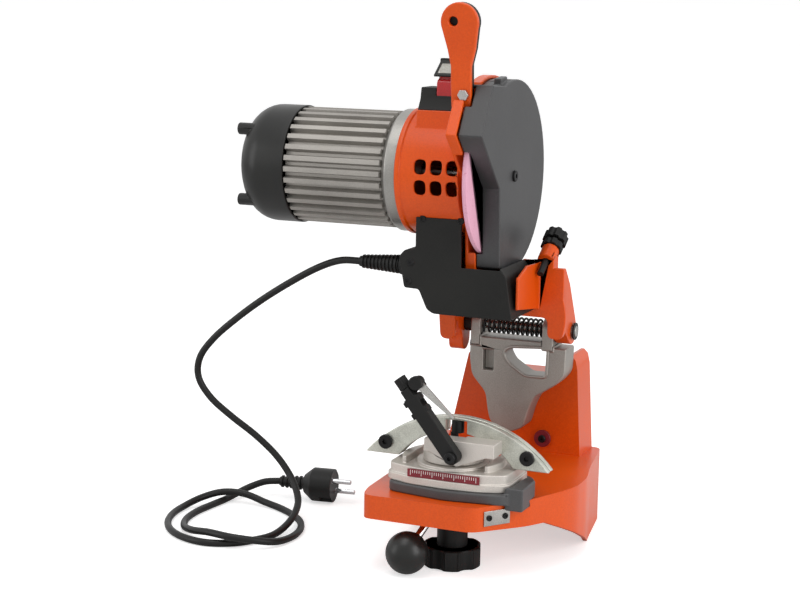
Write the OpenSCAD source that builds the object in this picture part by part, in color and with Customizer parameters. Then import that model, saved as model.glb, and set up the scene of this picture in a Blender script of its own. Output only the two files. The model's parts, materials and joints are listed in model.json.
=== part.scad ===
// Bench chain sharpener: a grinding head with its motor on a tilting arm, over a
// swivelling chain vise on a cast base. Sizes are in millimetres. The model is drawn
// round the vertical axis of the vise, and place() then moves it so that the origin
// lies under the middle of the machine. x runs along the motor, y runs backwards.

/* [Grinding wheel] */
// Outer radius of the grinding wheel
wheel_r = 72.5; // [66:0.5:74]
// Thickness of the grinding wheel
wheel_t = 4; // [3:0.5:5]
// Radius of the hole in the wheel
wheel_bore_r = 11.15; // [10:0.05:12]
// Height of the wheel's axis above the bench
wheel_z = 335.5; // [333:0.5:338]
// How far the wheel's axis lies behind the vise axis
wheel_y = 81; // [79:0.5:83]
// Radius of the motor shaft
shaft_r = 5; // [4:0.25:6]
// Radius of the two clamping flanges
flange_r = 19; // [16:0.5:24]
// Thickness of each clamping flange
flange_t = 3.5; // [2.5:0.5:4]

/* [Motor] */
// Radius over the cooling fins
motor_r = 53; // [50:0.5:55]
// Depth of the cooling fins
fin_d = 5; // [3:0.5:7]
// Number of cooling fins
fin_count = 32; // [24:1:36]
// Thickness of one cooling fin
fin_t = 4.2; // [3:0.2:5.4]
// Length of the finned motor housing
motor_len = 95.5; // [90:0.5:100]
// Width of the flange ring between motor and head
ring_w = 15; // [12:0.5:18]
// Length of the motor's end cap
cap_len = 51; // [46:0.5:54]
// Radius of the four pegs on the end cap
peg_r = 5.5; // [3.5:0.25:6]
// Distance of the pegs from the motor axis
peg_at = 46; // [42:0.5:47]
// Wall of the motor housing under its fins
motor_wall = 3.5; // [2.5:0.5:5]

/* [Head] */
// Radius of the drum that the motor is bolted to
drum_r = 55.8; // [55:0.2:58]
// Length of the drum
drum_len = 60; // [58:0.5:62]
// Wall of the head casting
head_wall = 3; // [3:0.5:5]
// Outer radius of the orange guard behind the wheel
guard_r = 88; // [84:0.5:90]
// Width of the guard's rim
guard_rim_w = 10; // [8:0.5:12]
// Outer radius of the wheel cover
cover_r = 85; // [81:0.5:87]
// Depth of the wheel cover
cover_d = 22; // [20:0.5:24]
// Wall of the wheel cover
cover_wall = 3; // [2:0.5:4]

/* [Hinge] */
// Height of the hinge pin above the bench
hinge_z = 190; // [189:0.25:191.5]
// How far the hinge pin lies behind the vise axis
hinge_y = 136; // [135:0.25:137]
// Radius of the hinge pin
pin_r = 5; // [4:0.25:5.5]
// Outer radius of the bosses on the hinge pin
boss_r = 12; // [10:0.5:12.5]
// Running clearance of pins and shafts
run_gap = 0.05; // [0.03:0.01:0.09]
// Wire radius of the return spring
wire_r = 1.1; // [0.8:0.1:1.3]
// Number of turns of the return spring
spring_turns = 12; // [9:1:14]

/* [Tilting arm] */
// Height of the tilt axis above the bench
tilt_z = 110; // [108:0.5:112]
// Sideways place of the tilt axis
tilt_x = 5; // [3:0.5:7]
// Radius of the tilt stud
tilt_stud_r = 8; // [6:0.5:9]
// Thickness of the arm, front to back
arm_t = 26; // [24:0.5:27]
// Gap between the arm and the column
arm_gap = 0.5; // [0.3:0.1:1]
// Radius of the tilt knob behind the column
tilt_knob_r = 24; // [20:0.5:26]

/* [Base] */
// Height of the table top above the bench
table_z = 68; // [66:0.5:68]
// Depth of the table's front face
apron_h = 21; // [18:0.5:22]
// Wall of the base casting
base_wall = 4; // [4:0.5:6]
// Distance from the vise axis to the front of the table
front_reach = 51; // [50:0.5:54]
// Distance from the vise axis to the front of the column
column_y = 152; // [151.5:0.25:153]
// Depth of the column, front to back
column_d = 40; // [38:1:46]
// Height of the column's shoulders
column_z = 163; // [160:0.5:165]
// Radius of the bench bolt holes
bench_hole_r = 4.25; // [3.5:0.25:5]
// Distance between the bench bolt holes
bench_hole_span = 100; // [90:1:110]

/* [Vise] */
// Radius of the vise stud
stud_r = 8; // [7:0.25:9]
// Radius of the clamp shaft inside the stud
clamp_r = 3.5; // [3:0.25:4.5]
// Radius of the lock handwheel under the table
handwheel_r = 26; // [22:0.5:28]
// Height of the lock handwheel's rim
handwheel_h = 18; // [15:0.5:20]
// Radius of the handwheel's hub
hub_r = 13.5; // [12:0.5:15]
// Thickness of each chain rail
rail_t = 6; // [4:0.5:7]
// Height of the chain rails above the bench
rail_z = 133; // [131:0.5:135]
// Free width of the chain slot between the rails
chain_slot = 1.8; // [1.5:0.1:2.2]
// Radius of the clamp lever's ball
ball_r = 18.5; // [15:0.5:18.5]
// Radius of the clamp lever's rod
rod_r = 3.5; // [2.5:0.25:4.5]

/* [Chain stop] */
// Width of the chain stop arm
stop_w = 13; // [11:0.5:14]
// Thickness of the chain stop arm
stop_t = 11; // [8:0.5:12]
// Length of the chain stop arm between its pivot and its end
stop_len = 70; // [64:0.5:74]
// Lean of the chain stop arm from upright, in degrees
stop_lean = 38.5; // [36:0.5:41]

/* [Cord] */
// Radius of the power cord
cord_r = 3.4; // [3:0.1:3.6]

/* [Hidden] */
$fn = 64;

eps = 0.01;
seat = 0.3;                        // gap that keeps moving faces apart
left_reach = 236;                  // vise axis to the end of the motor's pegs
right_reach = 96;                  // vise axis to the right side of the base
ball_at = [-25, -44, 19];          // middle of the clamp lever's ball
vise_x = (left_reach - right_reach) / 2;
vise_y = (ball_r - ball_at[1] - column_y - column_d) / 2;

drum_x = -12;                      // right end of the drum, where the guard plate starts
ring_x = drum_x - drum_len;        // left end of the drum
motor_x = ring_x - ring_w;         // right end of the finned housing
cap_x = motor_x - motor_len;       // right end of the end cap
peg_x = -left_reach;               // left end of the pegs
guard_x = drum_x + guard_rim_w;    // right edge of the guard's rim
cover_x = guard_x + cover_d;       // outer face of the wheel cover
arm_y1 = column_y - arm_gap;       // back of the tilting arm
arm_y0 = arm_y1 - arm_t;           // front of the tilting arm
column_y1 = column_y + column_d;

function unit(v) = v / norm(v);
function left_normal(a, b) = let (d = unit(b - a)) [-d[1], d[0]];
// The outline moved inwards by t; the points run anticlockwise.
function inset(p, t) =
    let (n = len(p))
    [for (i = [0:n - 1])
        let (n1 = left_normal(p[(i + n - 1) % n], p[i]), n2 = left_normal(p[i], p[(i + 1) % n]))
        p[i] + t * (n1 + n2) / (1 + n1 * n2)];
// A point of the quadratic curve from a to b that is pulled towards c.
function curve_point(a, c, b, t) = (1 - t) * (1 - t) * a + 2 * t * (1 - t) * c + t * t * b;
// The outline with each corner rounded over a length r.
function rounded(p, r, n = 4) =
    let (m = len(p))
    [for (i = [0:m - 1])
        let (c = p[i], a = p[(i + m - 1) % m], b = p[(i + 1) % m],
             la = min(r, norm(a - c) * 0.45), lb = min(r, norm(b - c) * 0.45))
        for (k = [0:n]) curve_point(c + unit(a - c) * la, c, c + unit(b - c) * lb, k / n)];
// Points on an arc from angle a0 to angle a1.
function arc(cx, cy, r, a0, a1, n = 24) =
    [for (i = [0:n]) let (a = a0 + (a1 - a0) * i / n) [cx + r * cos(a), cy + r * sin(a)]];

module place() { translate([vise_x, vise_y, 0]) children(); }
// Solids carried along one axis, with their outline in the other two.
module slab_x(x0, x1) { translate([x0, 0, 0]) rotate([90, 0, 90]) linear_extrude(x1 - x0) children(); }
module slab_y(y0, y1) { translate([0, y1, 0]) rotate([90, 0, 0]) linear_extrude(y1 - y0) children(); }
module slab_z(z0, z1) { translate([0, 0, z0]) linear_extrude(z1 - z0) children(); }
module rod_x(x0, x1, y, z, r) { translate([x0, y, z]) rotate([0, 90, 0]) cylinder(h = x1 - x0, r = r); }
module rod_y(y0, y1, x, z, r) { translate([x, y1, z]) rotate([90, 0, 0]) cylinder(h = y1 - y0, r = r); }
module rod_z(z0, z1, x, y, r) { translate([x, y, z0]) cylinder(h = z1 - z0, r = r); }
module block(a, b) { translate(a) cube(b - a); }
module on_shaft(x0, x1, r) { rod_x(x0, x1, wheel_y, wheel_z, r); }

orange = [0.93, 0.38, 0.08];
dark = [0.16, 0.16, 0.16];
grey = [0.36, 0.36, 0.36];
alu = [0.75, 0.74, 0.72];
steel = [0.62, 0.62, 0.64];

// ---------------------------------------------------------------- base
table_outline = rounded([[-64, -front_reach], [36, -front_reach], [70, -7], [90, 36],
    [right_reach, 56], [right_reach, 84], [88, 120], [77, column_y1], [-82, column_y1], [-80, 120],
    [-72, 60], [-69, -30]], 8);
skirt_z = table_z - apron_h;       // lower edge of the table at the front
skirt_outline = [[-front_reach - 1, skirt_z], [14, skirt_z - 3], [112, 0],
    [column_y1 + 1, 0], [column_y1 + 1, table_z], [-front_reach - 1, table_z]];
hollow_outline = [[-front_reach - 1, -1], [column_y - 1, -1], [column_y - 1, table_z - base_wall],
    [-front_reach - 1, table_z - base_wall]];
saddle_cut_z = 142;                // bottom of the gap between the column's shoulders
column_outline = [[-81, 0], [76, 0], [69, 50], [63, 150], [61, 159], [57, column_z], [54, column_z],
    [49, 152], [42, saddle_cut_z], [-8, saddle_cut_z], [-14, 152], [-18, column_z - 1], [-41, column_z - 1],
    [-45, 156], [-58.6, 94]];
column_room = [[-81, 0], [76, 0], [69, 50], [63.5, saddle_cut_z], [-47.6, saddle_cut_z], [-58.6, 94]];
module base_casting() {
    color(orange) place() difference() {
        union() {
            intersection() {
                slab_z(0, table_z) polygon(table_outline);
                slab_x(-120, 120) polygon(skirt_outline);
            }
            slab_y(column_y, column_y1) polygon(column_outline);
        }
        // room under the table
        difference() {
            intersection() {
                slab_z(-1, table_z) polygon(inset(table_outline, base_wall));
                slab_x(-120, 120) polygon(hollow_outline);
            }
            rod_z(lever_z1 + seat, table_z, 0, 0, stud_r + 7);
        }
        // the column stands open at the back
        slab_y(column_y + base_wall, column_y1 + 1) polygon(inset(column_room, base_wall));
        rod_z(0, table_z + 1, 0, 0, stud_r + run_gap);
        rod_y(column_y - 1, column_y + base_wall + 1, tilt_x, tilt_z, tilt_stud_r + run_gap);
        for (s = [-1, 1]) rod_z(-1, base_wall + 1, s * bench_hole_span / 2 - 2, column_y + 24, bench_hole_r);
        rod_y(column_y - 1, column_y + base_wall + 1, disc_x, disc_z, disc_screw_r);
    }
}

disc_x = 31.6;                     // index disc on the column's front
disc_z = 81.5;
disc_r = 8;
disc_t = 3;
disc_screw_r = 2.2;
module index_disc() {
    color([0.5, 0.06, 0.1]) place() difference() {
        rod_y(column_y - disc_t, column_y, disc_x, disc_z, disc_r);
        rod_y(column_y - disc_t - 1, column_y + 1, disc_x, disc_z, disc_screw_r);
    }
}
module index_disc_screw() {
    color(dark) place() {
        rod_y(column_y - disc_t - 2, column_y - disc_t, disc_x, disc_z, 3.6);
        rod_y(column_y - disc_t - eps, column_y + base_wall, disc_x, disc_z, disc_screw_r - run_gap);
    }
}

// The metal strip lies on the slanted right-hand face of the table.
strip_len = 26;
strip_h = 13;
strip_t = 1.2;
strip_screw_r = 1.6;
module on_slant(along, z) {
    slant = atan2(front_reach - 7, 34);
    translate([36, -front_reach, z]) rotate([0, 0, slant]) translate([along, 0, 0]) children();
}
module strip_hole(r, y0, y1) {
    for (a = [17, 33]) on_slant(a, skirt_z + 11) rod_y(y0, y1, 0, 0, r);
}
module edge_strip() {
    color(steel) place() difference() {
        on_slant(12, skirt_z + 4) translate([0, -strip_t - seat / 3, 0]) cube([strip_len, strip_t, strip_h]);
        strip_hole(strip_screw_r, -9, 1);
    }
}
module strip_screws() {
    color(grey) place() {
        strip_hole(2.6, -strip_t - 1.3 - seat / 3, -strip_t - seat / 3);
        strip_hole(strip_screw_r - run_gap, -strip_t - seat / 3 - eps, -eps * 5);
    }
}

// ---------------------------------------------------------------- vise, fixed part
saddle_z0 = table_z;
saddle_t = 9;
saddle_z1 = saddle_z0 + saddle_t;
saddle_outline = rounded([[-50, -31], [5, -40], [58, -33], [66, -20], [66, 30], [52, 42], [-44, 42], [-54, 26]], 9);
saddle_hook = [[56.5, -28], [73, -28], [73, -7.5], [71.5, -7.5]];
module vise_saddle() {
    color(grey) place() difference() {
        union() {
            slab_z(saddle_z0, saddle_z1) polygon(saddle_outline);
            slab_z(skirt_z + 16, saddle_z1 + 6) polygon(saddle_hook);
            slab_z(saddle_z0, saddle_z1 + 6) polygon([[60, -28], [73, -28], [73, 6], [62, 12]]);
        }
        rod_z(0, 200, 0, 0, stud_r + run_gap);
    }
}
body_z0 = saddle_z1;
body_z1 = 95;                      // top of the turntable's seat
cheek_z = 98;                      // top of the two side blocks
cheek_r = 45;                      // reach of the side blocks from the vise axis
body_outline = rounded([[-54, -24], [-30, -33], [5, -36], [36, -33], [59, -24], [59, 30], [44, 38],
    [-40, 38], [-54, 30]], 8);
scale_z0 = 84;
scale_z1 = 91;
scale_t = 1;
scale_front = -34;
module vise_body() {
    color(alu) place() difference() {
        union() {
            slab_z(body_z0, body_z0 + 7) polygon(body_outline);
            difference() {
                slab_z(body_z0, 92) polygon(inset(body_outline, 2));
                // recess behind the angle scale
                block([-40, -60, body_z0 + 5], [47, scale_front + scale_t + seat, 100]);
            }
            rod_z(body_z0, body_z1, 0, 0, 32.5);
            for (s = [-1, 1]) intersection() {
                block([s * 42 - 6, -22, body_z0 + 1], [s * 42 + 6, 24, cheek_z]);
                rod_z(body_z0, cheek_z + 1, 0, 0, cheek_r);
            }
        }
        rod_z(0, 200, 0, 0, stud_r + run_gap);
    }
}
module angle_scale() {
    color([0.55, 0.08, 0.1]) place()
        slab_z(scale_z0, scale_z1) polygon([[-30, scale_front], [36, scale_front],
            [36, scale_front + scale_t], [-30, scale_front + scale_t]]);
}

// ---------------------------------------------------------------- vise, turning part
table_z0 = body_z1 + seat;         // underside of the turntable
core_y = -rail_t + 1;              // front face of the front rail
core_z = 118;
turn_z = 104.8;                    // turntable under the rails
turn_r = 26.9;
vee_y0 = -27;
stud_z0 = 3;
stud_top = 102;
module vise_block() {
    color(alu) place() difference() {
        union() {
            rod_z(table_z0, turn_z, 0, 0, turn_r);
            // the V-shaped front block, with its tip over the angle scale
            slab_y(vee_y0, core_y) polygon([[12, table_z0], [46, 109], [46, core_z], [-18, core_z], [-18, 108]]);
            block([-18, vee_y0, 106], [46, core_y, core_z]);
        }
        rod_z(0, stud_top, 0, 0, stud_r + seat / 3);
        rod_z(0, 200, 0, 0, clamp_r + seat);
        rod_y(vee_y0 - 1, vee_y0 + 14, stop_x, stop_z, 3);
        // room for the cam over the block
        block([-8, -13, core_z - 1.2], [14, 20, core_z + 20]);
    }
}
module vise_stud() {
    color(steel) place() difference() {
        rod_z(stud_z0, stud_top, 0, 0, stud_r);
        rod_z(0, 200, 0, 0, clamp_r + seat);
        // slot for the clamp lever's tongue
        slab_z(lever_z0 - seat, lever_z1 + seat) polygon(concat([[0, 0]],
            arc(0, 0, stud_r + 3, lever_a - 32, lever_a + lever_swing + 32, 6)));
    }
}
rail_cx = 3;                       // middle of the rails
rail_tip = 85;                     // half the length of the rails
rail_low = 93.5;
rail_rise = rail_z - rail_low;
rail_R = (rail_tip * rail_tip + rail_rise * rail_rise) / (2 * rail_rise);
arch_half = 53;
arch_top = 120;
arch_rise = arch_top - rail_low;
arch_R = (arch_half * arch_half + arch_rise * arch_rise) / (2 * arch_rise);
rail_a = asin(rail_tip / rail_R);
arch_a = asin(arch_half / arch_R);
rail_screw_x = 65.5;
rail_screw_z = 104.5;
rail_screw_r = 3;
window_z0 = arch_top - 4;
window_z1 = rail_z - 2.5;
module rail(y0, hole_r) {
    difference() {
        slab_y(y0, y0 + rail_t) polygon(concat(
            arc(rail_cx, rail_z - rail_R, rail_R, 90 - rail_a, 90 + rail_a),
            arc(rail_cx, arch_top - arch_R, arch_R, 90 + arch_a, 90 - arch_a)));
        block([-7, y0 - 1, window_z0], [13, y0 + rail_t + 1, window_z1]);
        for (s = [-1, 1]) rod_y(y0 - 1, y0 + rail_t + 1, rail_cx + s * rail_screw_x, rail_screw_z, hole_r);
    }
}
module front_rail() { color([0.74, 0.75, 0.7]) place() rail(core_y, rail_screw_r + run_gap); }
rear_y = core_y + rail_t + chain_slot;
module rear_rail() { color([0.7, 0.71, 0.67]) place() rail(rear_y, rail_screw_r + run_gap); }
module rail_screws() {
    color(dark) place() for (s = [-1, 1]) {
        rod_y(core_y - 3, core_y, rail_cx + s * rail_screw_x, rail_screw_z, 6.5);
        rod_y(core_y - eps, rear_y + rail_t + 2, rail_cx + s * rail_screw_x, rail_screw_z, rail_screw_r);
    }
}
cam_off = 3;                       // how far the cam's middle lies off its shaft
cam_r = 5.5;
lever_z0 = 50.5;                   // clamp lever's ring under the table
lever_z1 = 54.8;
module clamp_shaft() {
    color([0.25, 0.25, 0.28]) place() {
        rod_z(1.5, core_z + 1, 0, 0, clamp_r);
        rod_z(core_z + 1, window_z1 - seat * 2, cam_off, 0, cam_r);
    }
}
lever_a = atan2(ball_at[1], ball_at[0]);
lever_swing = 50;                  // how far the lever swings, in degrees
rod_from = hub_r + 5;              // the rod starts clear of the handwheel's hub
rod_root = [rod_from * cos(lever_a), rod_from * sin(lever_a), (lever_z0 + lever_z1) / 2];
rod_len = norm(ball_at - rod_root);
module along_lever(d) {
    u = (ball_at - rod_root) / rod_len;
    translate(rod_root + u * d) rotate([0, acos(u[2]), lever_a]) children();
}
module clamp_lever() {
    color(steel) place() difference() {
        union() {
            rod_z(lever_z0, lever_z1, 0, 0, stud_r + 6);
            rotate([0, 0, lever_a]) block([stud_r + 2, -5, lever_z0], [rod_from + 3, 5, lever_z1]);
            along_lever(0) cylinder(h = rod_len - ball_r + 7, r = rod_r);
        }
        difference() {
            rod_z(0, 200, 0, 0, stud_r + run_gap);
            // tongue that reaches the clamp shaft through the stud's slot
            rotate([0, 0, lever_a]) block([0, -1.6, lever_z0], [stud_r + 2, 1.6, lever_z1]);
        }
        rod_z(0, 200, 0, 0, clamp_r + run_gap);
    }
}
module ball_knob() {
    color(dark) place() difference() {
        translate(ball_at) sphere(r = ball_r);
        along_lever(rod_len - ball_r - 2) cylinder(h = 9 + seat, r = rod_r + run_gap);
    }
}
module lock_handwheel() {
    color(dark) place() difference() {
        union() {
            difference() {
                rod_z(0, handwheel_h, 0, 0, handwheel_r);
                for (a = [0:60:300]) rotate([0, 0, a + 20])
                    rod_z(-1, handwheel_h + 1, handwheel_r + 7, 0, 10);
                rod_z(handwheel_h - 4, handwheel_h + 1, 0, 0, handwheel_r - 5);
            }
            rod_z(eps, lever_z0 - seat, 0, 0, hub_r);
        }
        rod_z(-1, lever_z0 + 1, 0, 0, stud_r + run_gap);
    }
}

// ---------------------------------------------------------------- chain stop
stop_x = 11;                       // pivot of the chain stop arm
stop_z = 106;
stop_y1 = vee_y0 - seat;           // back of the stop arm
stop_y0 = stop_y1 - stop_t;
pawl_x = 12;                       // pawl pivot, across and along the stop arm
pawl_z = 69;
pawl_pin_r = 2.5;
// Drawn with z along the arm, from its pivot; y = 0 is the arm's back.
module on_stop() {
    place() translate([stop_x, stop_y1, stop_z]) rotate([0, -stop_lean, 0]) children();
}
module stop_arm() {
    color(dark) on_stop() difference() {
        union() {
            rod_y(-stop_t, 0, 0, 0, stop_w / 2);
            block([-stop_w / 2, -stop_t, 0], [stop_w / 2, 0, stop_len - 8]);
            block([-stop_w / 2 + 2, -stop_t, 0], [stop_w / 2 - 2, 0, stop_len]);
            for (z = [44, 56]) block([-stop_w / 2 - 2.5, -stop_t + 1, z], [stop_w / 2 + 1.5, -1, z + 5]);
            // lug that carries the pawl
            block([0, -4, pawl_z - 6], [pawl_x + 4, 0, pawl_z + 1]);
            rod_y(-4, 0, pawl_x, pawl_z, 5);
        }
        rod_y(-stop_t - 1, 1, 0, 0, stop_screw_r + run_gap);
        rod_y(-stop_t - 1, 1, pawl_x, pawl_z, pawl_pin_r + run_gap);
        rod_z(40, stop_len + 1, 0, -stop_t / 2, stop_thread_r + run_gap);
    }
}
stop_screw_r = 2.95;
stop_thread_r = 2.5;
stop_knob_r = 5.6;
module stop_pivot_screw() {
    color(dark) place() {
        rod_y(stop_y0 - 3.5, stop_y0 - seat, stop_x, stop_z, 5);
        rod_y(stop_y0 - seat - eps, vee_y0 + 13, stop_x, stop_z, stop_screw_r);
    }
}
module stop_knob() {
    color(dark) on_stop() {
        difference() {
            rod_z(stop_len + seat, stop_len + 11, 0, -stop_t / 2, stop_knob_r);
            for (a = [0:30:330]) translate([0, -stop_t / 2, 0]) rotate([0, 0, a])
                rod_z(stop_len, stop_len + 12, stop_knob_r + 0.5, 0, 1);
        }
        rod_z(44, stop_len + 1, 0, -stop_t / 2, stop_thread_r);
    }
}
pawl_len = 44;
pawl_turn = 167.5;                 // direction of the pawl from the arm's own
module chain_pawl() {
    color(steel) on_stop() difference() {
        translate([pawl_x, -6.6, pawl_z]) rotate([0, pawl_turn, 0]) slab_y(0, 2.2)
            polygon([[-3, -3.5], [3, -3.5], [4, 6], [1.6, pawl_len], [-0.6, pawl_len], [-3.5, 8]]);
        rod_y(-10, 0, pawl_x, pawl_z, pawl_pin_r);
    }
}
module pawl_knob() {
    color(dark) on_stop() {
        rod_y(-12, -6.7, pawl_x, pawl_z, 6);
        rod_y(-7, 1.5, pawl_x, pawl_z, pawl_pin_r);
    }
}

// ---------------------------------------------------------------- tilting arm
boss_left = -33.4;                 // left end of the arm's bosses
boss_mid = -24;                    // the return spring lies between the bosses
boss_right = 36.2;
boss_end = 47.2;
arm_top = hinge_z - boss_r - 1;
arm_outline = rounded([[-34, arm_top], [-34.5, 159], [-32, 142], [-17.8, 126], [-15.7, 111], [-12.8, 99],
    [-4, 92], [8, 90.5], [20, 96], [24.3, 112.6], [30, 126], [51, 140], [59, 150], [59.8, arm_top]], 5);
window_outline = rounded([[5, 171.5], [-1, 166], [4, 157], [21, 146], [41, 146.4], [42, 174]], 3);
web_top = hinge_z - 11;            // top of the arm between its bosses
module arm_support() {
    color(alu) place() difference() {
        union() {
            slab_y(arm_y0, arm_y1) polygon(arm_outline);
            block([boss_left, arm_y0, arm_top - 1], [boss_end, arm_y1, web_top]);
            rod_x(boss_left, boss_mid, hinge_y, hinge_z, boss_r);
            rod_x(boss_right, boss_end, hinge_y, hinge_z, boss_r);
            block([boss_left, hinge_y - boss_r, arm_top - 6], [boss_mid, hinge_y + boss_r, hinge_z]);
            block([boss_right, hinge_y - boss_r, arm_top - 6], [boss_end, hinge_y + boss_r, hinge_z]);
        }
        rod_x(boss_left - 1, boss_end + 1, hinge_y, hinge_z, pin_r + run_gap);
        slab_y(arm_y0 - 1, arm_y1 + 1) polygon(window_outline);
        // the right cheek swings over this shoulder
        block([boss_end, arm_y0 - 1, arm_top - 3], [boss_end + 20, arm_y1 + 1, hinge_z]);
        block([-21, arm_y0 - 1, 148], [-11, arm_y0 + 8, 167]);
        rod_y(arm_y0 + 8, arm_y1 + 1, tilt_x, tilt_z, tilt_stud_r);
        // room for the spring
        block([boss_mid, hinge_y - boss_r - 2, web_top], [boss_right, hinge_y + boss_r + 4, hinge_z + boss_r]);
    }
}
module tilt_stud() {
    color(steel) place() rod_y(arm_y0 + 8, column_y + base_wall + 21, tilt_x, tilt_z, tilt_stud_r);
}
knob_y0 = column_y + base_wall + seat;
tilt_knob_d = 14;
module tilt_knob() {
    color(dark) place() difference() {
        union() {
            rod_y(knob_y0, knob_y0 + 9, tilt_x, tilt_z, 15);
            difference() {
                rod_y(knob_y0 + 8, knob_y0 + 8 + tilt_knob_d, tilt_x, tilt_z, tilt_knob_r);
                for (a = [0:60:300]) translate([tilt_x, 0, tilt_z]) rotate([0, a, 0])
                    rod_y(knob_y0 + 7, knob_y0 + 9 + tilt_knob_d, tilt_knob_r + 6, 0, 9.5);
            }
        }
        rod_y(knob_y0 - 1, knob_y0 + 40, tilt_x, tilt_z, tilt_stud_r + run_gap);
    }
}
pin_x0 = -58;                      // the hinge pin's ends
pin_x1 = 66;
module hinge_pin() {
    color(steel) place() rod_x(pin_x0, pin_x1, hinge_y, hinge_z, pin_r);
}
module pin_rings() {
    color(dark) place() for (x = [pin_x0 + 0.4, pin_x1 - 2.4]) difference() {
        rod_x(x, x + 1.6, hinge_y, hinge_z, pin_r + 3);
        rod_x(x - 1, x + 3, hinge_y, hinge_z, pin_r);
    }
}
module pin_spacer() {
    color(dark) place() difference() {
        rod_x(ear_x1 + seat, boss_left - seat, hinge_y, hinge_z, pin_r + 3.5);
        rod_x(ear_x1 - 1, boss_left + 1, hinge_y, hinge_z, pin_r + run_gap);
    }
}
// The return spring: one wire wound round the pin, with straight ends.
spring_r = 7.6;
spring_x0 = boss_mid + 2.4;
spring_x1 = boss_right - 2.4;
spring_steps = 8;
spring_pitch = (spring_x1 - spring_x0) / spring_turns;
spring_path = concat(
    [[spring_x0, -spring_r, -7], [spring_x0, -spring_r, -3]],
    [for (i = [0:spring_turns * spring_steps])
        let (a = 180 - 360 * i / spring_steps)
        [spring_x0 + spring_pitch * i / spring_steps, spring_r * cos(a), spring_r * sin(a)]],
    [[spring_x1, -spring_r, 3], [spring_x1, -spring_r, 7]]);
echo(spring_gap_mm = min(spring_pitch - 2 * wire_r, spring_r - wire_r - pin_r));
function cross3(a, b) = [a[1] * b[2] - a[2] * b[1], a[2] * b[0] - a[0] * b[2], a[0] * b[1] - a[1] * b[0]];
// A tube of the given radius carried along a path of points.
module tube(path, r, sides, side_dir) {
    n = len(path);
    dirs = [for (i = [0:n - 1]) unit(path[min(i + 1, n - 1)] - path[max(i - 1, 0)])];
    rings = [for (i = [0:n - 1])
        let (u = unit(cross3(dirs[i], side_dir)), v = cross3(dirs[i], u))
        for (k = [0:sides - 1]) path[i] + r * (u * cos(360 * k / sides) + v * sin(360 * k / sides))];
    polyhedron(rings, concat(
        [for (i = [0:n - 2]) for (k = [0:sides - 1])
            let (a = i * sides + k, b = i * sides + (k + 1) % sides)
            each [[a, b, b + sides], [a, b + sides, a + sides]]],
        [for (k = [1:sides - 2]) [0, k + 1, k]],
        [for (k = [1:sides - 2]) let (z = (n - 1) * sides) [z, z + k, z + k + 1]]));
}
module return_spring() {
    color(dark) place() translate([0, hinge_y, hinge_z]) tube(spring_path, wire_r, 6, [1, 0, 0.001]);
}

// ---------------------------------------------------------------- head
ear_x0 = -56;                      // left ear, with its lug hanging below the pin
ear_x1 = -42;
cheek_x0 = boss_end + seat;        // right cheek
cheek_x1 = 62;
web_y0 = 104;
web_y1 = 110;
axle = [wheel_y, wheel_z];
cover_out = concat(arc(0, 0, cover_r, -112, 109, 36), [[-59, 82.5], [-85, 40.5], [-36.5, -8.5]]);
guard_out = concat(arc(0, 0, guard_r, -112, 109, 36), [[-61, 85], [-89, 41], [-39, -9]]);
module on_wheel(x0, x1) { slab_x(x0, x1) translate(axle) children(); }
web_outline = rounded([[-58, 206], [-56, 178], [-42, 178], [-42, 206], [cheek_x0, 206], [cheek_x0, 187],
    [cheek_x1, 187], [65, 205], [63, 222], [55, 238], [42, 252], [32, 258], [4, 258], [0, 300], [-60, 300],
    [-66, 262]], 6);
ear_outline = rounded([[web_y0, 206], [126, 178], [127, 166], [136, 162.5], [145, 168], [148, 190],
    [144, 201], [web_y1, 250], [web_y0, 250]], 5);
cheek_outline = concat([[web_y0, 200]], arc(hinge_y, hinge_z, boss_r + 0.3, -129, 10, 8),
    [[144, 201], [124, 236], [web_y1, 252], [web_y0, 252]]);
stop_at = [44, 112, 262];          // middle of the depth stop's threaded boss
stop_tilt = 58;                    // lean of the depth stop screw from upright
module on_depth() { place() translate(stop_at) rotate([-stop_tilt, 0, 0]) children(); }
depth_r = 3;
depth_knob_r = 11;
depth_nut_r = 10;
shelf = [[4, 64, 243], [36, web_y0 + 1, 247]];
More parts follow.
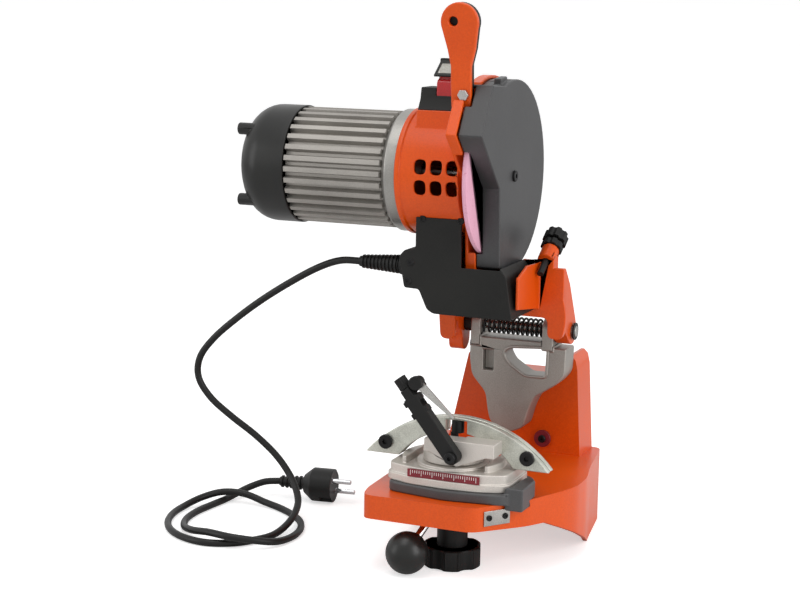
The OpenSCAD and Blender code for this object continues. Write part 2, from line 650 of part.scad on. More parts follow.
module head_casting() {
    color(orange) difference() {
        place() difference() {
            union() {
                on_shaft(ring_x, drum_x, drum_r);
                on_wheel(drum_x, drum_x + 3) polygon(guard_out);
                on_wheel(drum_x, guard_x - seat) difference() {
                    polygon(guard_out);
                    polygon(inset(guard_out, head_wall));
                }
                slab_y(web_y0, web_y1) polygon(web_outline);
                slab_x(ear_x0, ear_x1) polygon(ear_outline);
                slab_x(cheek_x0, cheek_x1) polygon(cheek_outline);
                block(shelf[0], shelf[1]);
                translate([-vise_x, -vise_y, 0]) on_depth() rod_z(-8, 8, 0, 0, 8);
                block([38, web_y0, 236], [52, 118, 262]);
                // pad under the switch
                slab_x(sw_x0, sw_x1) polygon([[sw_y0 - 4, 366], [sw_y1 + 8, 366], [sw_y1 + 4, pad_z], [sw_y0, pad_z]]);
                // side wall right of the electrics box
                slab_x(shelf[1][0] + seat, shelf[1][0] + 3) polygon([[46, 222], [web_y0 + 1, 214],
                    [web_y0 + 1, 256], [70, 258], [46, 250]]);
                // brow and boss that carry the handle
                slab_x(-13.7, drum_x + eps) polygon([[18, 392], [24, 415], [40, 412], [60, 396],
                    [60, 380], [40, 372], [20, 388]]);
                slab_x(-13.7, guard_x - seat) polygon([[20, 392], [20, 415], [38, 415], [44, 400], [44, 392]]);
            }
            on_shaft(ring_x - 1, drum_x - head_wall, drum_r - head_wall);
            on_shaft(ring_x - 1, drum_x + 30, shaft_r + 6);
            // vents
            for (x = [-48, -33, -18]) for (z = [326.5, 344.5])
                slab_y(0, 60) polygon(rounded([[x - 5.5, z - 6.5], [x + 5.5, z - 6.5], [x + 5.5, z + 6.5],
                    [x - 5.5, z + 6.5]], 5));
            rod_x(pin_x0 - 3, pin_x1 + 3, hinge_y, hinge_z, pin_r + run_gap);
            on_shaft(guard_x, cover_x + 2, wheel_r + 16);
            // wheel room behind the guard's rim
            on_shaft(drum_x + 3, guard_x + 1, wheel_r + 1.5);
        }
        on_depth() rod_z(-30, 30, 0, 0, depth_r + run_gap);
        handle_seat();
    }
}
module guard_cover() {
    color(grey) difference() {
        place() difference() {
            union() {
                on_wheel(guard_x, cover_x) polygon(cover_out);
                // toothed clip on the cover's top
                on_wheel(cover_x - 12, cover_x - 5) polygon([[-26, 78], [-10, 78], [-10, 88], [-26, 86.5]]);
            }
            on_wheel(guard_x - 1, cover_x - cover_wall) polygon(inset(cover_out, cover_wall));
            on_shaft(guard_x - 1, wheel_t / 2 + 1.5, wheel_r + 1.5);
            on_shaft(cover_x - 10, cover_x + 1, 2.6);
        }
        handle_seat();
    }
}
module cover_screw() {
    color(dark) place() {
        on_shaft(cover_x, cover_x + 2.5, 5);
        on_shaft(cover_x - 6, cover_x + eps, 2.5);
    }
}
box_shape = [[-55.6, 306], [-55.6, 271], [-66, 269], [-71.3, 263], [-66, 235], [-52, 234.5],
    [-44, 217], [-38, 213.5], [36, 213], [30, 251], [20, 264], [-7, 264], [-7, 306]];
box_wall = 3;
box_y0 = 38;
module electrics_box() {
    color(dark) place() difference() {
        slab_y(box_y0, web_y0) polygon(rounded(box_shape, 2.5));
        slab_y(box_y0 + box_wall, web_y0 + 1) polygon(inset(box_shape, box_wall));
        on_shaft(ring_x - 5, drum_x + 5, drum_r + 0.2);
        on_shaft(drum_x - seat, cover_x + 4, guard_r + 1.5);
        block([shelf[0][0] - seat, shelf[0][1] - seat, shelf[0][2] - seat],
            [shelf[1][0] + 9, web_y0 + 1, shelf[1][2] + seat]);
    }
}
gland_x = -72;
gland_y = 60;
gland_z = 252;
relief_x = -118;                   // free end of the strain relief
module strain_relief() {
    color(dark) place() difference() {
        union() {
            translate([relief_x, gland_y, gland_z]) rotate([0, 90, 0])
                cylinder(h = gland_x - relief_x - 4, r1 = cord_r + 1.6, r2 = cord_r + 4);
            for (i = [0:5]) let (x = relief_x + 4 + i * 6)
                rod_x(x, x + 3, gland_y, gland_z, cord_r + 3.2 + i * 0.35);
            rod_x(gland_x - 5, gland_x + 0.4, gland_y, gland_z, cord_r + 6);
        }
        rod_x(relief_x - 1, relief_x + 2, gland_y, gland_z, cord_r + 0.1);
    }
}

// ---------------------------------------------------------------- switch and handle
sw_x0 = -60;
sw_x1 = -14;
sw_y0 = 46;
sw_y1 = 80;
pad_z = 392.5;                     // top of the cast pad under the switch
well = [[-45, 55], [-31, 68]];     // the button's well, corner to corner
module switch_housing() {
    color(dark) place() difference() {
        union() {
            slab_x(sw_x0, sw_x1) polygon([[sw_y0 + 2, pad_z], [sw_y1 + 4, pad_z], [sw_y1 + 4, 396], [sw_y1, 412],
                [sw_y0 + 10, 412], [sw_y0 + 8, 402]]);
            slab_x(-50, -26) polygon([[70, 400], [sw_y1 + 2, 400], [sw_y1, 437], [75, 437]]);
        }
        on_shaft(ring_x, drum_x, drum_r + eps);
        block([well[0][0] - seat, well[0][1] - seat, 397], [well[1][0] + seat, well[1][1] + seat, 440]);
    }
}
module switch_rocker() {
    color([0.72, 0.08, 0.12]) place() slab_x(well[0][0], well[1][0])
        polygon([[well[0][1], 401], [well[1][1], 401], [well[1][1], 424],
            [well[0][1] + 1.5, 418.5], [well[0][1], 416]]);
}
flap_y = 73.2;                     // hinge of the switch flap
flap_z = 434;
flap_d = [-0.812, -0.584];         // the flap's direction from its hinge, y and z
flap_t = 1.7;
flap_pane = [[-45.5, 4.5], [-30.5, 18]];
module flap_slab(x0, x1, a, b, up = 0) {
    n = [-0.584, 0.812];
    at = [flap_y, flap_z] + n * up;
    slab_x(x0, x1) polygon([at + flap_d * a, at + flap_d * b, at + flap_d * b + n * flap_t,
        at + flap_d * a + n * flap_t]);
}
module switch_flap() {
    color(dark) place() difference() {
        union() {
            flap_slab(-48, -28, 0.5, 21.5);
            rod_x(-48, -28, flap_y, flap_z, 1.3);
        }
        for (u = [-1, 0, 1]) flap_slab(flap_pane[0][0], flap_pane[1][0], flap_pane[0][1], flap_pane[1][1], u);
    }
}
module flap_window() {
    color([0.9, 0.9, 0.88, 0.5]) place() flap_slab(flap_pane[0][0] + seat / 3, flap_pane[1][0] - seat / 3,
        flap_pane[0][1] + seat / 3, flap_pane[1][1] - seat / 3);
}
handle_screw_x = -4;
handle_screw_z = 409.4;
handle_y = 14;                     // front of the handle's foot
handle_t = 5;
handle_lean = 8;                   // the handle leans forward, in degrees
handle_hole = [-10, 62];
handle_top = 61;
handle_out = concat([[-12, -12], [6, -12], [6.5, 8], [7, 24], [11, 38]],
    arc(-2.5, handle_top, 17, -20, 200, 20), [[-14, 38], [-11.5, 24], [-12, 8]]);
module on_handle() {
    place() translate([handle_screw_x, handle_y, handle_screw_z]) rotate([handle_lean, 0, 0]) children();
}
handle_back_t = 6;
handle_screw_r = 2.5;
// Room for the handle and its screw.
module handle_seat() {
    on_handle() block([-13.5, -4, -14], [8, handle_t + handle_back_t, 22]);
    on_handle() rod_y(0, 30, 0, 0, handle_screw_r + run_gap);
}
module guard_room() { place() on_shaft(-30, 30, guard_r + seat); }
module handle() {
    color(orange) difference() {
        on_handle() difference() {
            slab_y(0, handle_t) polygon(handle_out);
            rod_y(-1, handle_t + 1, handle_hole[0] + 2, handle_hole[1], 4);
            rod_y(-1, handle_t + 1, 0, 0, handle_screw_r + run_gap);
        }
        guard_room();
    }
}
module handle_back() {
    color(dark) difference() {
        on_handle() difference() {
            slab_y(handle_t, handle_t + handle_back_t) polygon(inset(handle_out, 0.8));
            rod_y(-1, 30, 0, 0, handle_screw_r + run_gap);
        }
        guard_room();
    }
}
module handle_screw() {
    color(steel) on_handle() {
        rotate([90, 0, 0]) cylinder(h = 3, r = 5, $fn = 6);
        rod_y(-eps, handle_t + 14, 0, 0, handle_screw_r);
    }
}
module depth_stop_screw() {
    color(steel) on_depth() {
        rod_z(-26, 19, 0, 0, depth_r);
        difference() {
            rod_z(18, 29, 0, 0, depth_knob_r);
            for (a = [0:45:315]) rotate([0, 0, a]) rod_z(17, 30, depth_knob_r + 1.6, 0, 3);
        }
    }
}
module depth_lock_nut() {
    color(dark) on_depth() difference() {
        rod_z(8 + seat, 15, 0, 0, depth_nut_r);
        for (a = [0:45:315]) rotate([0, 0, a]) rod_z(8, 16, depth_nut_r + 1.5, 0, 2.6);
        rod_z(0, 20, 0, 0, depth_r + run_gap);
    }
}

// ---------------------------------------------------------------- motor
bearing_r = 16;
bearing_w = 9;
front_bearing_x = motor_x - bearing_w + 2;
rear_bearing_x = cap_x + 4;
core_x0 = cap_x + 20;
core_x1 = motor_x - 16;
rotor_r = 24;
air_gap = 0.5;
module motor_ring() {
    color([0.66, 0.66, 0.65]) place() difference() {
        union() {
            on_shaft(motor_x + 5, ring_x, drum_r - 0.6);
            translate([motor_x, wheel_y, wheel_z]) rotate([0, 90, 0])
                cylinder(h = 5, r1 = motor_r - 3, r2 = drum_r - 0.6);
            on_shaft(ring_x - eps, ring_x + 6, drum_r - head_wall - run_gap);
            on_shaft(front_bearing_x, motor_x + eps, bearing_r + 4);
        }
        on_shaft(front_bearing_x - 1, front_bearing_x + bearing_w, bearing_r + run_gap / 2);
        on_shaft(front_bearing_x - 1, ring_x + 10, shaft_r + 2);
    }
}
module motor_housing() {
    color([0.75, 0.74, 0.72]) place() difference() {
        union() {
            on_shaft(cap_x, motor_x, motor_r - fin_d);
            translate([cap_x, wheel_y, wheel_z]) for (i = [0:fin_count - 1])
                rotate([i * 360 / fin_count, 0, 0]) translate([0, -fin_t / 2, motor_r - fin_d - 1])
                    cube([motor_len, fin_t, fin_d + 1]);
        }
        on_shaft(cap_x + 14, motor_x + 1, motor_r - fin_d - motor_wall);
        on_shaft(cap_x - 1, cap_x + 15, shaft_r + 2);
        on_shaft(cap_x + 4, cap_x + 15, bearing_r + run_gap / 2);
    }
}
module stator() {
    color([0.5, 0.5, 0.52]) place() difference() {
        on_shaft(core_x0, core_x1, motor_r - fin_d - motor_wall - run_gap);
        on_shaft(core_x0 - 1, core_x1 + 1, rotor_r + air_gap);
        for (a = [15:30:345]) translate([0, wheel_y, wheel_z]) rotate([a, 0, 0])
            rod_x(core_x0 - 1, core_x1 + 1, 0, rotor_r + 9, 5);
    }
}
module windings() {
    color([0.6, 0.3, 0.12]) place() for (a = [15:30:345]) translate([0, wheel_y, wheel_z]) rotate([a, 0, 0])
        rod_x(core_x0 - 4, core_x1 + 4, 0, rotor_r + 9, 4.6);
}
module rotor_core() {
    color([0.45, 0.45, 0.47]) place() difference() {
        on_shaft(core_x0, core_x1, rotor_r);
        on_shaft(core_x0 - 1, core_x1 + 1, shaft_r);
    }
}
shaft_end = cap_x - 22;
module motor_shaft() {
    color(steel) place() {
        on_shaft(shaft_end, wheel_t / 2 + flange_t + 8, shaft_r);
        on_shaft(-wheel_t / 2 - flange_t - 1.2, -wheel_t / 2 - flange_t, shaft_r + 3);
    }
}
module bearing(x) {
    difference() {
        on_shaft(x, x + bearing_w, bearing_r);
        on_shaft(x - 1, x + bearing_w + 1, shaft_r + run_gap);
    }
}
module bearings() {
    color([0.55, 0.55, 0.57]) place() {
        bearing(front_bearing_x);
        bearing(rear_bearing_x);
    }
}
fan_r = 40;
module cooling_fan() {
    color(dark) place() difference() {
        union() {
            on_shaft(cap_x - 18, cap_x - 6, 12);
            on_shaft(cap_x - 8, cap_x - 6, fan_r);
            for (a = [0:45:315]) translate([0, wheel_y, wheel_z]) rotate([a, 0, 0])
                block([cap_x - 18, -1, 8], [cap_x - 6, 1, fan_r]);
        }
        on_shaft(cap_x - 20, cap_x, shaft_r);
    }
}
cap_round = 26;                    // depth over which the end cap closes in
module cap_profile(t) {
    r = motor_r + 1.2 - t;
    z = cap_len - cap_round - t;
    rotate([0, -90, 0]) rotate_extrude() polygon(concat([[0, 0], [r, 0], [r, z]],
        [for (a = [9:9:90]) [r - 26 * (1 - cos(a)), z + cap_round * sin(a)]], [[0, cap_len - t]]));
}
module motor_cap() {
    color(dark) place() {
        difference() {
            union() {
                translate([cap_x, wheel_y, wheel_z]) cap_profile(0);
                for (a = [45:90:315]) translate([0, wheel_y, wheel_z]) rotate([a, 0, 0])
                    rod_x(peg_x, cap_x - 24, 0, peg_at, peg_r);
            }
            translate([cap_x + 1, wheel_y, wheel_z]) cap_profile(2.5);
            // air slots in the end of the cap
            for (i = [-3:3]) block([cap_x - cap_len - 1, wheel_y - 18, wheel_z + i * 6 - 1.5],
                [cap_x - cap_len + 4, wheel_y + 18, wheel_z + i * 6 + 1.5]);
        }
    }
}
module inner_flange() {
    color(steel) place() difference() {
        on_shaft(-wheel_t / 2 - flange_t, -wheel_t / 2, flange_r);
        on_shaft(-20, 0, shaft_r);
    }
}
module outer_flange() {
    color(steel) place() difference() {
        union() {
            on_shaft(wheel_t / 2, wheel_t / 2 + flange_t, flange_r);
            on_shaft(-wheel_t / 2, wheel_t / 2 + eps, wheel_bore_r - run_gap);
        }
        on_shaft(-20, 20, shaft_r);
    }
}
module shaft_nut() {
    color(steel) place() difference() {
        translate([wheel_t / 2 + flange_t, wheel_y, wheel_z]) rotate([0, 90, 0]) cylinder(h = 5, r = 9.5, $fn = 6);
        on_shaft(0, 20, shaft_r);
    }
}
module grinding_wheel() {
    color([0.93, 0.72, 0.78]) place() difference() {
        on_shaft(-wheel_t / 2, wheel_t / 2, wheel_r);
        on_shaft(-wheel_t, wheel_t, wheel_bore_r);
    }
}

// ---------------------------------------------------------------- cord
lay = cord_r + 0.1;                // height of the cord's middle where it lies on the bench
over = 3 * cord_r + 1.2;           // height where it passes over itself
plug_z = 17;
plug_end = [-226, 114, plug_z];    // where the cord enters the plug's boot
plug_dir = 8;                      // the plug's direction on the bench, from +x
// The route from the strain relief, down to the bench, round twice and into the plug.
cord_route = [[relief_x + 1, gland_y, gland_z], [-138, 60, 251], [-160, 60, 243], [-187, 60, 228],
    [-218, 60, 208], [-246, 60, 187], [-270, 60, 166], [-285, 60, 146], [-287, 61, 126],
    [-275, 63, 107], [-254, 66, 90], [-230, 70, 73], [-208, 71, 55], [-190, 66, 37],
    [-177, 54, 22], [-171, 36, 13.5], [-170, 15, 7], [-173, -6, lay], [-181, -26, lay],
    [-195, -43, lay], [-217, -52, lay], [-241, -48, lay], [-263, -34, lay], [-279, -13, lay],
    [-288, 12, lay], [-290, 36, 4], [-282, 58, 8], [-267, 73, over], [-247, 80, 10],
    [-225, 79, 5], [-205, 72, lay], [-186, 59, lay], [-169, 42, lay], [-158, 20, lay],
    [-155, -4, lay], [-160, -27, 5], [-174, -43, 9], [-194, -50, over], [-218, -46, over],
    [-240, -36, 7.5], [-258, -19, 4], [-268, 2, lay], [-271, 26, lay], [-269, 50, lay],
    [-266, 74, lay], [-263, 91, 5], [-255, 104, 9.5], [-241, 111.5, 15], plug_end];
// Smooth curve through the route's points, with one more ring between each two.
function between(p, i) =
    let (n = len(p), a = p[max(i - 1, 0)], b = p[i], c = p[i + 1], d = p[min(i + 2, n - 1)])
    (9 * (b + c) - a - d) / 16;
function refine(p, first, last) = [for (i = [0:len(p) - 1]) each
    (i >= first && i < last) ? [p[i], between(p, i)] : [p[i]]];
module power_cord() {
    color(dark) place() tube(refine(cord_route, 8, 38), cord_r, 8, [0, 0.001, 1]);
}
// Drawn with x along the plug, from the end of the cord.
plug_roll = 45;                    // the plug lies rolled over on its side
module on_plug() { place() translate(plug_end) rotate([0, 0, plug_dir]) rotate([plug_roll, 0, 0]) children(); }
boot_len = 26;
plug_len = 30;
plug_r = 16.4;
module cord_boot() {
    color(dark) on_plug() {
        translate([2 * seat, 0, 0]) rotate([0, 90, 0]) cylinder(h = boot_len - 2 * seat, r1 = cord_r + 1.2, r2 = cord_r + 2.6);
        for (i = [0:4]) rod_x(2 + i * 4.6, 4.6 + i * 4.6, 0, 0, cord_r + 3.6);
    }
}
pin_half = 9.5;
pin_len = 19;
pin_tip_r = 2.4;
pin_root_r = 2;
module plug_body() {
    color(dark) on_plug() difference() {
        union() {
            translate([boot_len, 0, 0]) rotate([0, 90, 0]) cylinder(h = 9, r1 = 9, r2 = plug_r);
            rod_x(boot_len + 9, boot_len + plug_len, 0, 0, plug_r);
        }
        // side grooves of the earth contacts
        for (s = [-1, 1]) block([boot_len + plug_len - 11, s * plug_r - 2, -3], [boot_len + plug_len + 1, s * plug_r + 2, 3]);
        for (s = [-1, 1]) rod_x(boot_len + plug_len - 8, boot_len + plug_len + 1, 0, s * pin_half, pin_root_r);
    }
}
module plug_pins() {
    color(steel) on_plug() for (s = [-1, 1]) {
        rod_x(boot_len + plug_len - 8, boot_len + plug_len + eps, 0, s * pin_half, pin_root_r);
        rod_x(boot_len + plug_len, boot_len + plug_len + pin_len, 0, s * pin_half, pin_tip_r);
    }
}

base_casting();
index_disc();
index_disc_screw();
edge_strip();
strip_screws();
vise_saddle();
vise_body();
angle_scale();
vise_block();
vise_stud();
front_rail();
rear_rail();
rail_screws();
clamp_shaft();
clamp_lever();
ball_knob();
lock_handwheel();
stop_arm();
stop_pivot_screw();
stop_knob();
chain_pawl();
pawl_knob();
arm_support();
tilt_stud();
tilt_knob();
hinge_pin();
pin_rings();
pin_spacer();
return_spring();
head_casting();
guard_cover();
cover_screw();
electrics_box();
strain_relief();
switch_housing();
switch_rocker();
switch_flap();
flap_window();
handle();
handle_back();
handle_screw();
depth_stop_screw();
depth_lock_nut();
motor_ring();
motor_housing();
stator();
windings();
rotor_core();
motor_shaft();
bearings();
cooling_fan();
motor_cap();
inner_flange();
outer_flange();
shaft_nut();
grinding_wheel();
power_cord();
cord_boot();
plug_body();
plug_pins();
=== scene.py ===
"""Looks of the bench chain sharpener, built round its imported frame.

Lengths inside the making of pieces are in millimetres round the vise axis, as in the part's source,
and place() turns them into metres in the row frame."""

import json
import math

import bmesh
import bpy
import numpy as np
from bpy.props import FloatProperty, FloatVectorProperty, IntProperty, PointerProperty
from mathutils import Matrix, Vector
from mathutils.bvhtree import BVHTree


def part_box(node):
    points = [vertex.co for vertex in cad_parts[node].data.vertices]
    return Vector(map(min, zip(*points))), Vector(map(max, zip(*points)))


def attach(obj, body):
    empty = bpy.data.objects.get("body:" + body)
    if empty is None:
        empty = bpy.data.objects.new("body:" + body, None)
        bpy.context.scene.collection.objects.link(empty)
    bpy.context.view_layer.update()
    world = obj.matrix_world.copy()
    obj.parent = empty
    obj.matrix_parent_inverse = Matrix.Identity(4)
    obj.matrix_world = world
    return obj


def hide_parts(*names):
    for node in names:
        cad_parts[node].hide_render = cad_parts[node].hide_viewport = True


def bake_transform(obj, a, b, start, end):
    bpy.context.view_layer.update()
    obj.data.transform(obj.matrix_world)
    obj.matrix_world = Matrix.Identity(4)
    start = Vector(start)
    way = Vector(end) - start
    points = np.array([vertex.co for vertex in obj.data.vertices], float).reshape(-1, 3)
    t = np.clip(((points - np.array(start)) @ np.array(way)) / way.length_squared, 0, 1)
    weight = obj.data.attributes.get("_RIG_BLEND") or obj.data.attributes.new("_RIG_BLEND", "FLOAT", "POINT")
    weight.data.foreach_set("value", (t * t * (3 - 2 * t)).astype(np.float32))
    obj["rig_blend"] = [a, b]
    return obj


bl_info = {
    "name": "Bench chain sharpener",
    "version": (1, 0, 0),
    "blender": (4, 5, 0),
    "location": "3D View > Sidebar > Sharpener",
    "description": "Dresses the packed frame of a bench chain sharpener",
    "category": "Object",
}

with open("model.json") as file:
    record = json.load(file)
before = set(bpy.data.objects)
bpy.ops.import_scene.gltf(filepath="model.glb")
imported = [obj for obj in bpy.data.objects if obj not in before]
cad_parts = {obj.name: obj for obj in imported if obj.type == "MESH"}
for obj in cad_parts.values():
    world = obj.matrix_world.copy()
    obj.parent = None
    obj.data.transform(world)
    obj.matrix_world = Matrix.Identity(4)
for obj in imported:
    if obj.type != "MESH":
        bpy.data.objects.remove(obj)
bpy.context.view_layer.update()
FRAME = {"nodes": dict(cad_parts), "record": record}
SLOT_OF = {s["node"]: s["material_slot"] for s in FRAME["record"]["subparts"]}
BODY_OF = {n: b for b, ns in FRAME["record"]["behaviour"]["bodies"].items() for n in ns}

MM = 0.001
STUD = np.array(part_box("vise_stud")) / MM
VISE = STUD.mean(0) * (1, 1, 0)         # the vise axis in the row frame, mm
WHEEL = np.array([0.0, 81.0, 335.5])   # middle of the grinding wheel
PIN = np.array([0.0, 136.0, 190.0])    # hinge pin of the head
CAP_ROOT = 182.5                       # from the wheel to the root of the motor's end cap
X, Y, Z = np.eye(3)


def place(points):
    """Millimetres round the vise axis to metres in the row frame."""
    return (np.asarray(points, float) + VISE) * MM


# ------------------------------------------------------------------ materials
def linear(code):
    """An sRGB hex colour as linear red, green, blue, alpha."""
    c = np.array([int(code[i:i + 2], 16) for i in (1, 3, 5)]) / 255
    return (*np.where(c <= 0.04045, c / 12.92, ((c + 0.055) / 1.055) ** 2.4), 1.0)


def node(tree, kind, inputs=None, **settings):
    """Adds one shader node with its settings; an input is a value or the output that feeds it."""
    made = tree.nodes.new("ShaderNode" + kind)
    for key, value in settings.items():
        setattr(made, key, value)
    for key, value in (inputs or {}).items():
        if isinstance(value, bpy.types.NodeSocket):
            tree.links.new(value, made.inputs[key])
        else:
            made.inputs[key].default_value = value
    return made


def finish(name, dark, light, rough, spread=0.08, metal=0.0, grain=1.0, bump=0.1, patch=40.0,
           stretch=(1, 1, 1), speck=None, shader=None):
    """A finish with slow patches of tone (patch, mm) and a fine grain (grain, mm) in its relief.
    Roughness swings by spread round rough; speck = (colour, share) strews small grains of a third colour."""
    material = bpy.data.materials.new(name)
    material.use_nodes = True
    tree = material.node_tree
    tree.nodes.clear()
    where = node(tree, "TexCoord").outputs["Object"]
    drawn = node(tree, "Mapping", {"Vector": where, "Scale": stretch}).outputs["Vector"]
    slow = node(tree, "TexNoise", {"Vector": where, "Scale": 1000 / patch, "Detail": 3.0}).outputs["Fac"]
    fine = node(tree, "TexNoise", {"Vector": drawn, "Scale": 1000 / grain, "Detail": 2.0}).outputs["Fac"]
    both = node(tree, "Math", {0: slow, 1: fine}, operation="ADD").outputs[0]
    share = node(tree, "MapRange", {"Value": both, "From Min": 0.75, "From Max": 1.25}).outputs[0]
    colour = node(tree, "Mix", {0: share, 6: linear(dark), 7: linear(light)}, data_type="RGBA").outputs[2]
    if speck:
        dots = node(tree, "TexVoronoi", {"Vector": where, "Scale": 1000 / (grain * 1.4)})
        near = node(tree, "Math", {0: dots.outputs["Color"], 1: speck[1]}, operation="LESS_THAN").outputs[0]
        colour = node(tree, "Mix", {0: near, 6: colour, 7: linear(speck[0])}, data_type="RGBA").outputs[2]
    gloss = node(tree, "MapRange", {"Value": share, "To Min": rough - spread,
                                    "To Max": rough + spread}).outputs[0]
    relief = node(tree, "Bump", {"Height": fine, "Strength": bump, "Distance": grain * MM * 0.25}).outputs[0]
    bsdf = node(tree, "BsdfPrincipled", {"Base Color": colour, "Roughness": gloss, "Normal": relief,
                                         "Metallic": metal, **(shader or {})})
    node(tree, "OutputMaterial", {"Surface": bsdf.outputs["BSDF"]})
    return material


def make_finishes(looks):
    """One material per slot of the record, each named for what the real surface is."""
    def code(colour):
        return "#" + "".join(f"{round(255 * max(0, min(1, c))):02X}" for c in colour[:3])
    orange = code(looks.paint)
    cover = code(looks.cover)
    wheel = code(looks.wheel)
    return {
        # powder coat on cast metal: even colour, soft gloss and a faint orange-peel relief
        "orange_paint": finish("orange_powder_coat", "#D24A06", orange, 0.36, 0.05, grain=1.6, bump=0.12,
                               patch=70, shader={"Specular IOR Level": 0.25, "Coat Weight": 0.2,
                                                 "Coat Roughness": 0.2}),
        # moulded ABS, glossy: a clean highlight
        "red_plastic": finish("red_moulded_abs", "#9E1418", "#C01F22", 0.22, 0.04, grain=0.6, bump=0.05),
        # printed foil: satin, flat colour
        "red_print": finish("dark_red_printed_foil", "#5A0C16", "#86182A", 0.45, 0.05, grain=0.4, bump=0.04),
        # blackened steel: dark, with a dull metallic sheen
        "black_steel": finish("blackened_steel", "#121212", "#1E1E1F", 0.42, 0.08, metal=0.35, grain=0.5,
                              bump=0.06, shader={"Specular IOR Level": 0.3}),
        # turned steel: bright metal with a fine grain of tool marks
        "bare_steel": finish("turned_steel", "#9A9894", "#C6C4C0", 0.28, 0.08, metal=1.0, grain=0.5, bump=0.1),
        # zinc plate on pressed steel: pale, slightly green and blotched
        "rail_steel": finish("zinc_plated_steel", "#A9AAA0", "#CFD0C6", 0.4, 0.1, metal=0.75, grain=0.7,
                             bump=0.08, patch=14),
        # stove enamel on the saddle: dark grey, satin, nearly even
        "dark_grey_paint": finish("dark_grey_stove_enamel", "#3C3C3D", "#4A4A4B", 0.45, 0.06, grain=0.9,
                                  bump=0.1),
        # die-cast aluminium, blasted: grey metal with a grainy skin
        "cast_aluminium": finish("blasted_cast_aluminium", "#8C8883", "#A5A19B", 0.48, 0.05, metal=0.7,
                                 grain=0.7, bump=0.2, patch=60),
        # the same casting with painted light on the vise: a lit copy, paler and more even
        "lit_cast_aluminium": finish("cast_aluminium_painted_lighter", "#BDB7B0", "#D2CCC5", 0.5, 0.05, metal=0.6,
                                 grain=0.7, bump=0.15, patch=60),
        "ring_grey": finish("grey_anodised_aluminium", "#8C8A86", "#A9A7A2", 0.36, 0.06, metal=0.8, grain=0.6,
                            bump=0.08),
        "chrome": finish("chrome_plate", "#D2D2D4", "#E6E6E8", 0.09, 0.03, metal=1.0, grain=0.4, bump=0.02),
        # moulded phenolic gone satin with handling: black with a broad soft highlight
        "gloss_black": finish("satin_black_phenolic", "#131312", "#1B1B19", 0.36, 0.05, grain=0.5, bump=0.05,
                              shader={"Specular IOR Level": 0.35}),
        # glass-filled nylon: black, matt, slightly rough to the eye
        "black_plastic": finish("black_glass_filled_nylon", "#101010", "#191918", 0.5, 0.08, grain=0.5,
                                bump=0.15, shader={"Specular IOR Level": 0.25}),
        "charcoal_plastic": finish("charcoal_spark_textured_abs", "#131312", "#1D1D1B", 0.55, 0.07, grain=0.6,
                                   bump=0.25, shader={"Specular IOR Level": 0.25}),
        # moulded polypropylene: even charcoal with a satin skin
        "grey_cover": finish("charcoal_moulded_polypropylene", "#333334", cover, 0.42, 0.06, grain=0.7,
                             bump=0.15),
        "clear_window": finish("clear_pvc", "#C9C6BC", "#E4E2DA", 0.18, 0.04, grain=2.0, bump=0.03,
                               shader={"Alpha": 0.45, "IOR": 1.53}),
        "laminations": finish("stacked_electrical_steel", "#5E5E60", "#7C7C7E", 0.5, 0.08, metal=0.8,
                              grain=0.6, bump=0.2, stretch=(6, 1, 1)),
        "copper": finish("enamelled_copper_wire", "#8A4A1E", "#B9672B", 0.3, 0.06, metal=0.9, grain=0.9,
                         bump=0.3, stretch=(1, 6, 6)),
        # vitrified abrasive: pink aluminium oxide, open grain with darker grits
        "wheel_grit": finish("pink_vitrified_abrasive", "#DDA0B6", wheel, 0.92, 0.04, grain=0.7, bump=0.45,
                             patch=30, speck=("#D592AA", 0.12)),
        "black_rubber": finish("black_pvc_cable_sheath", "#0E0E0D", "#161615", 0.44, 0.06, grain=0.8,
                               bump=0.06, shader={"Specular IOR Level": 0.3}),
        "white_print": finish("white_screen_print", "#D9D2CF", "#EFE9E6", 0.5, 0.05, grain=0.4, bump=0.03),
    }


FINISH = {}
EDGE_STEPS = 3          # segments of each rounded edge
WIDE_EDGE = 1.7         # mm: a wider rounding is held back where edges crowd
EDGE_REACH = 0.75       # share of its width that a rounding may stand off the surface
FLAT_ANGLE = 0.4        # degrees: flatter joints between faces are merged
SHANK_R = 2.9           # mm: radius of the screws' plain shanks


# ------------------------------------------------------------------ shapes
def grid(points, close_u=False, close_v=True):
    """Corners and quads of a surface given as an array of points [u, v]; a closed way joins its ends."""
    nu, nv = points.shape[:2]
    u = np.arange(nu if close_u else nu - 1)[:, None]
    v = np.arange(nv if close_v else nv - 1)[None, :]
    u1, v1 = (u + 1) % nu, (v + 1) % nv
    quads = np.stack([u * nv + v, u1 * nv + v, u1 * nv + v1, u * nv + v1], -1).reshape(-1, 4)
    return points.reshape(-1, 3), quads


def join(*shapes):
    """Several (corners, faces) pairs as one."""
    corners, faces, start = [], [], 0
    for c, f in shapes:
        corners.append(c)
        faces.extend((np.asarray(f) + start).tolist())
        start += len(c)
    return np.concatenate(corners), faces


def across(axis):
    """Two directions at right angles to an axis and to each other."""
    axis = axis / np.linalg.norm(axis)
    a = np.cross(axis, Z if abs(axis[2]) < 0.9 else X)
    a /= np.linalg.norm(a)
    return a, np.cross(axis, a)


def lathe(profile, centre, axis, sides=64, shape=None):
    """A profile of (along, radius) turned round an axis; shape(angle, along, radius) may change the radius.
    Point = centre + along * axis + radius * (cos angle * a + sin angle * b)."""
    profile = np.asarray(profile, float)
    axis = np.asarray(axis, float) / np.linalg.norm(axis)
    a, b = across(axis)
    turn = np.linspace(0, 2 * math.pi, sides, endpoint=False)
    along, radius = profile[:, :1], np.repeat(profile[:, 1:], sides, 1)
    if shape:
        radius = shape(turn[None, :], along, radius)
    points = (np.asarray(centre, float) + along[..., None] * axis
              + radius[..., None] * (np.cos(turn)[None, :, None] * a + np.sin(turn)[None, :, None] * b))
    return grid(points)


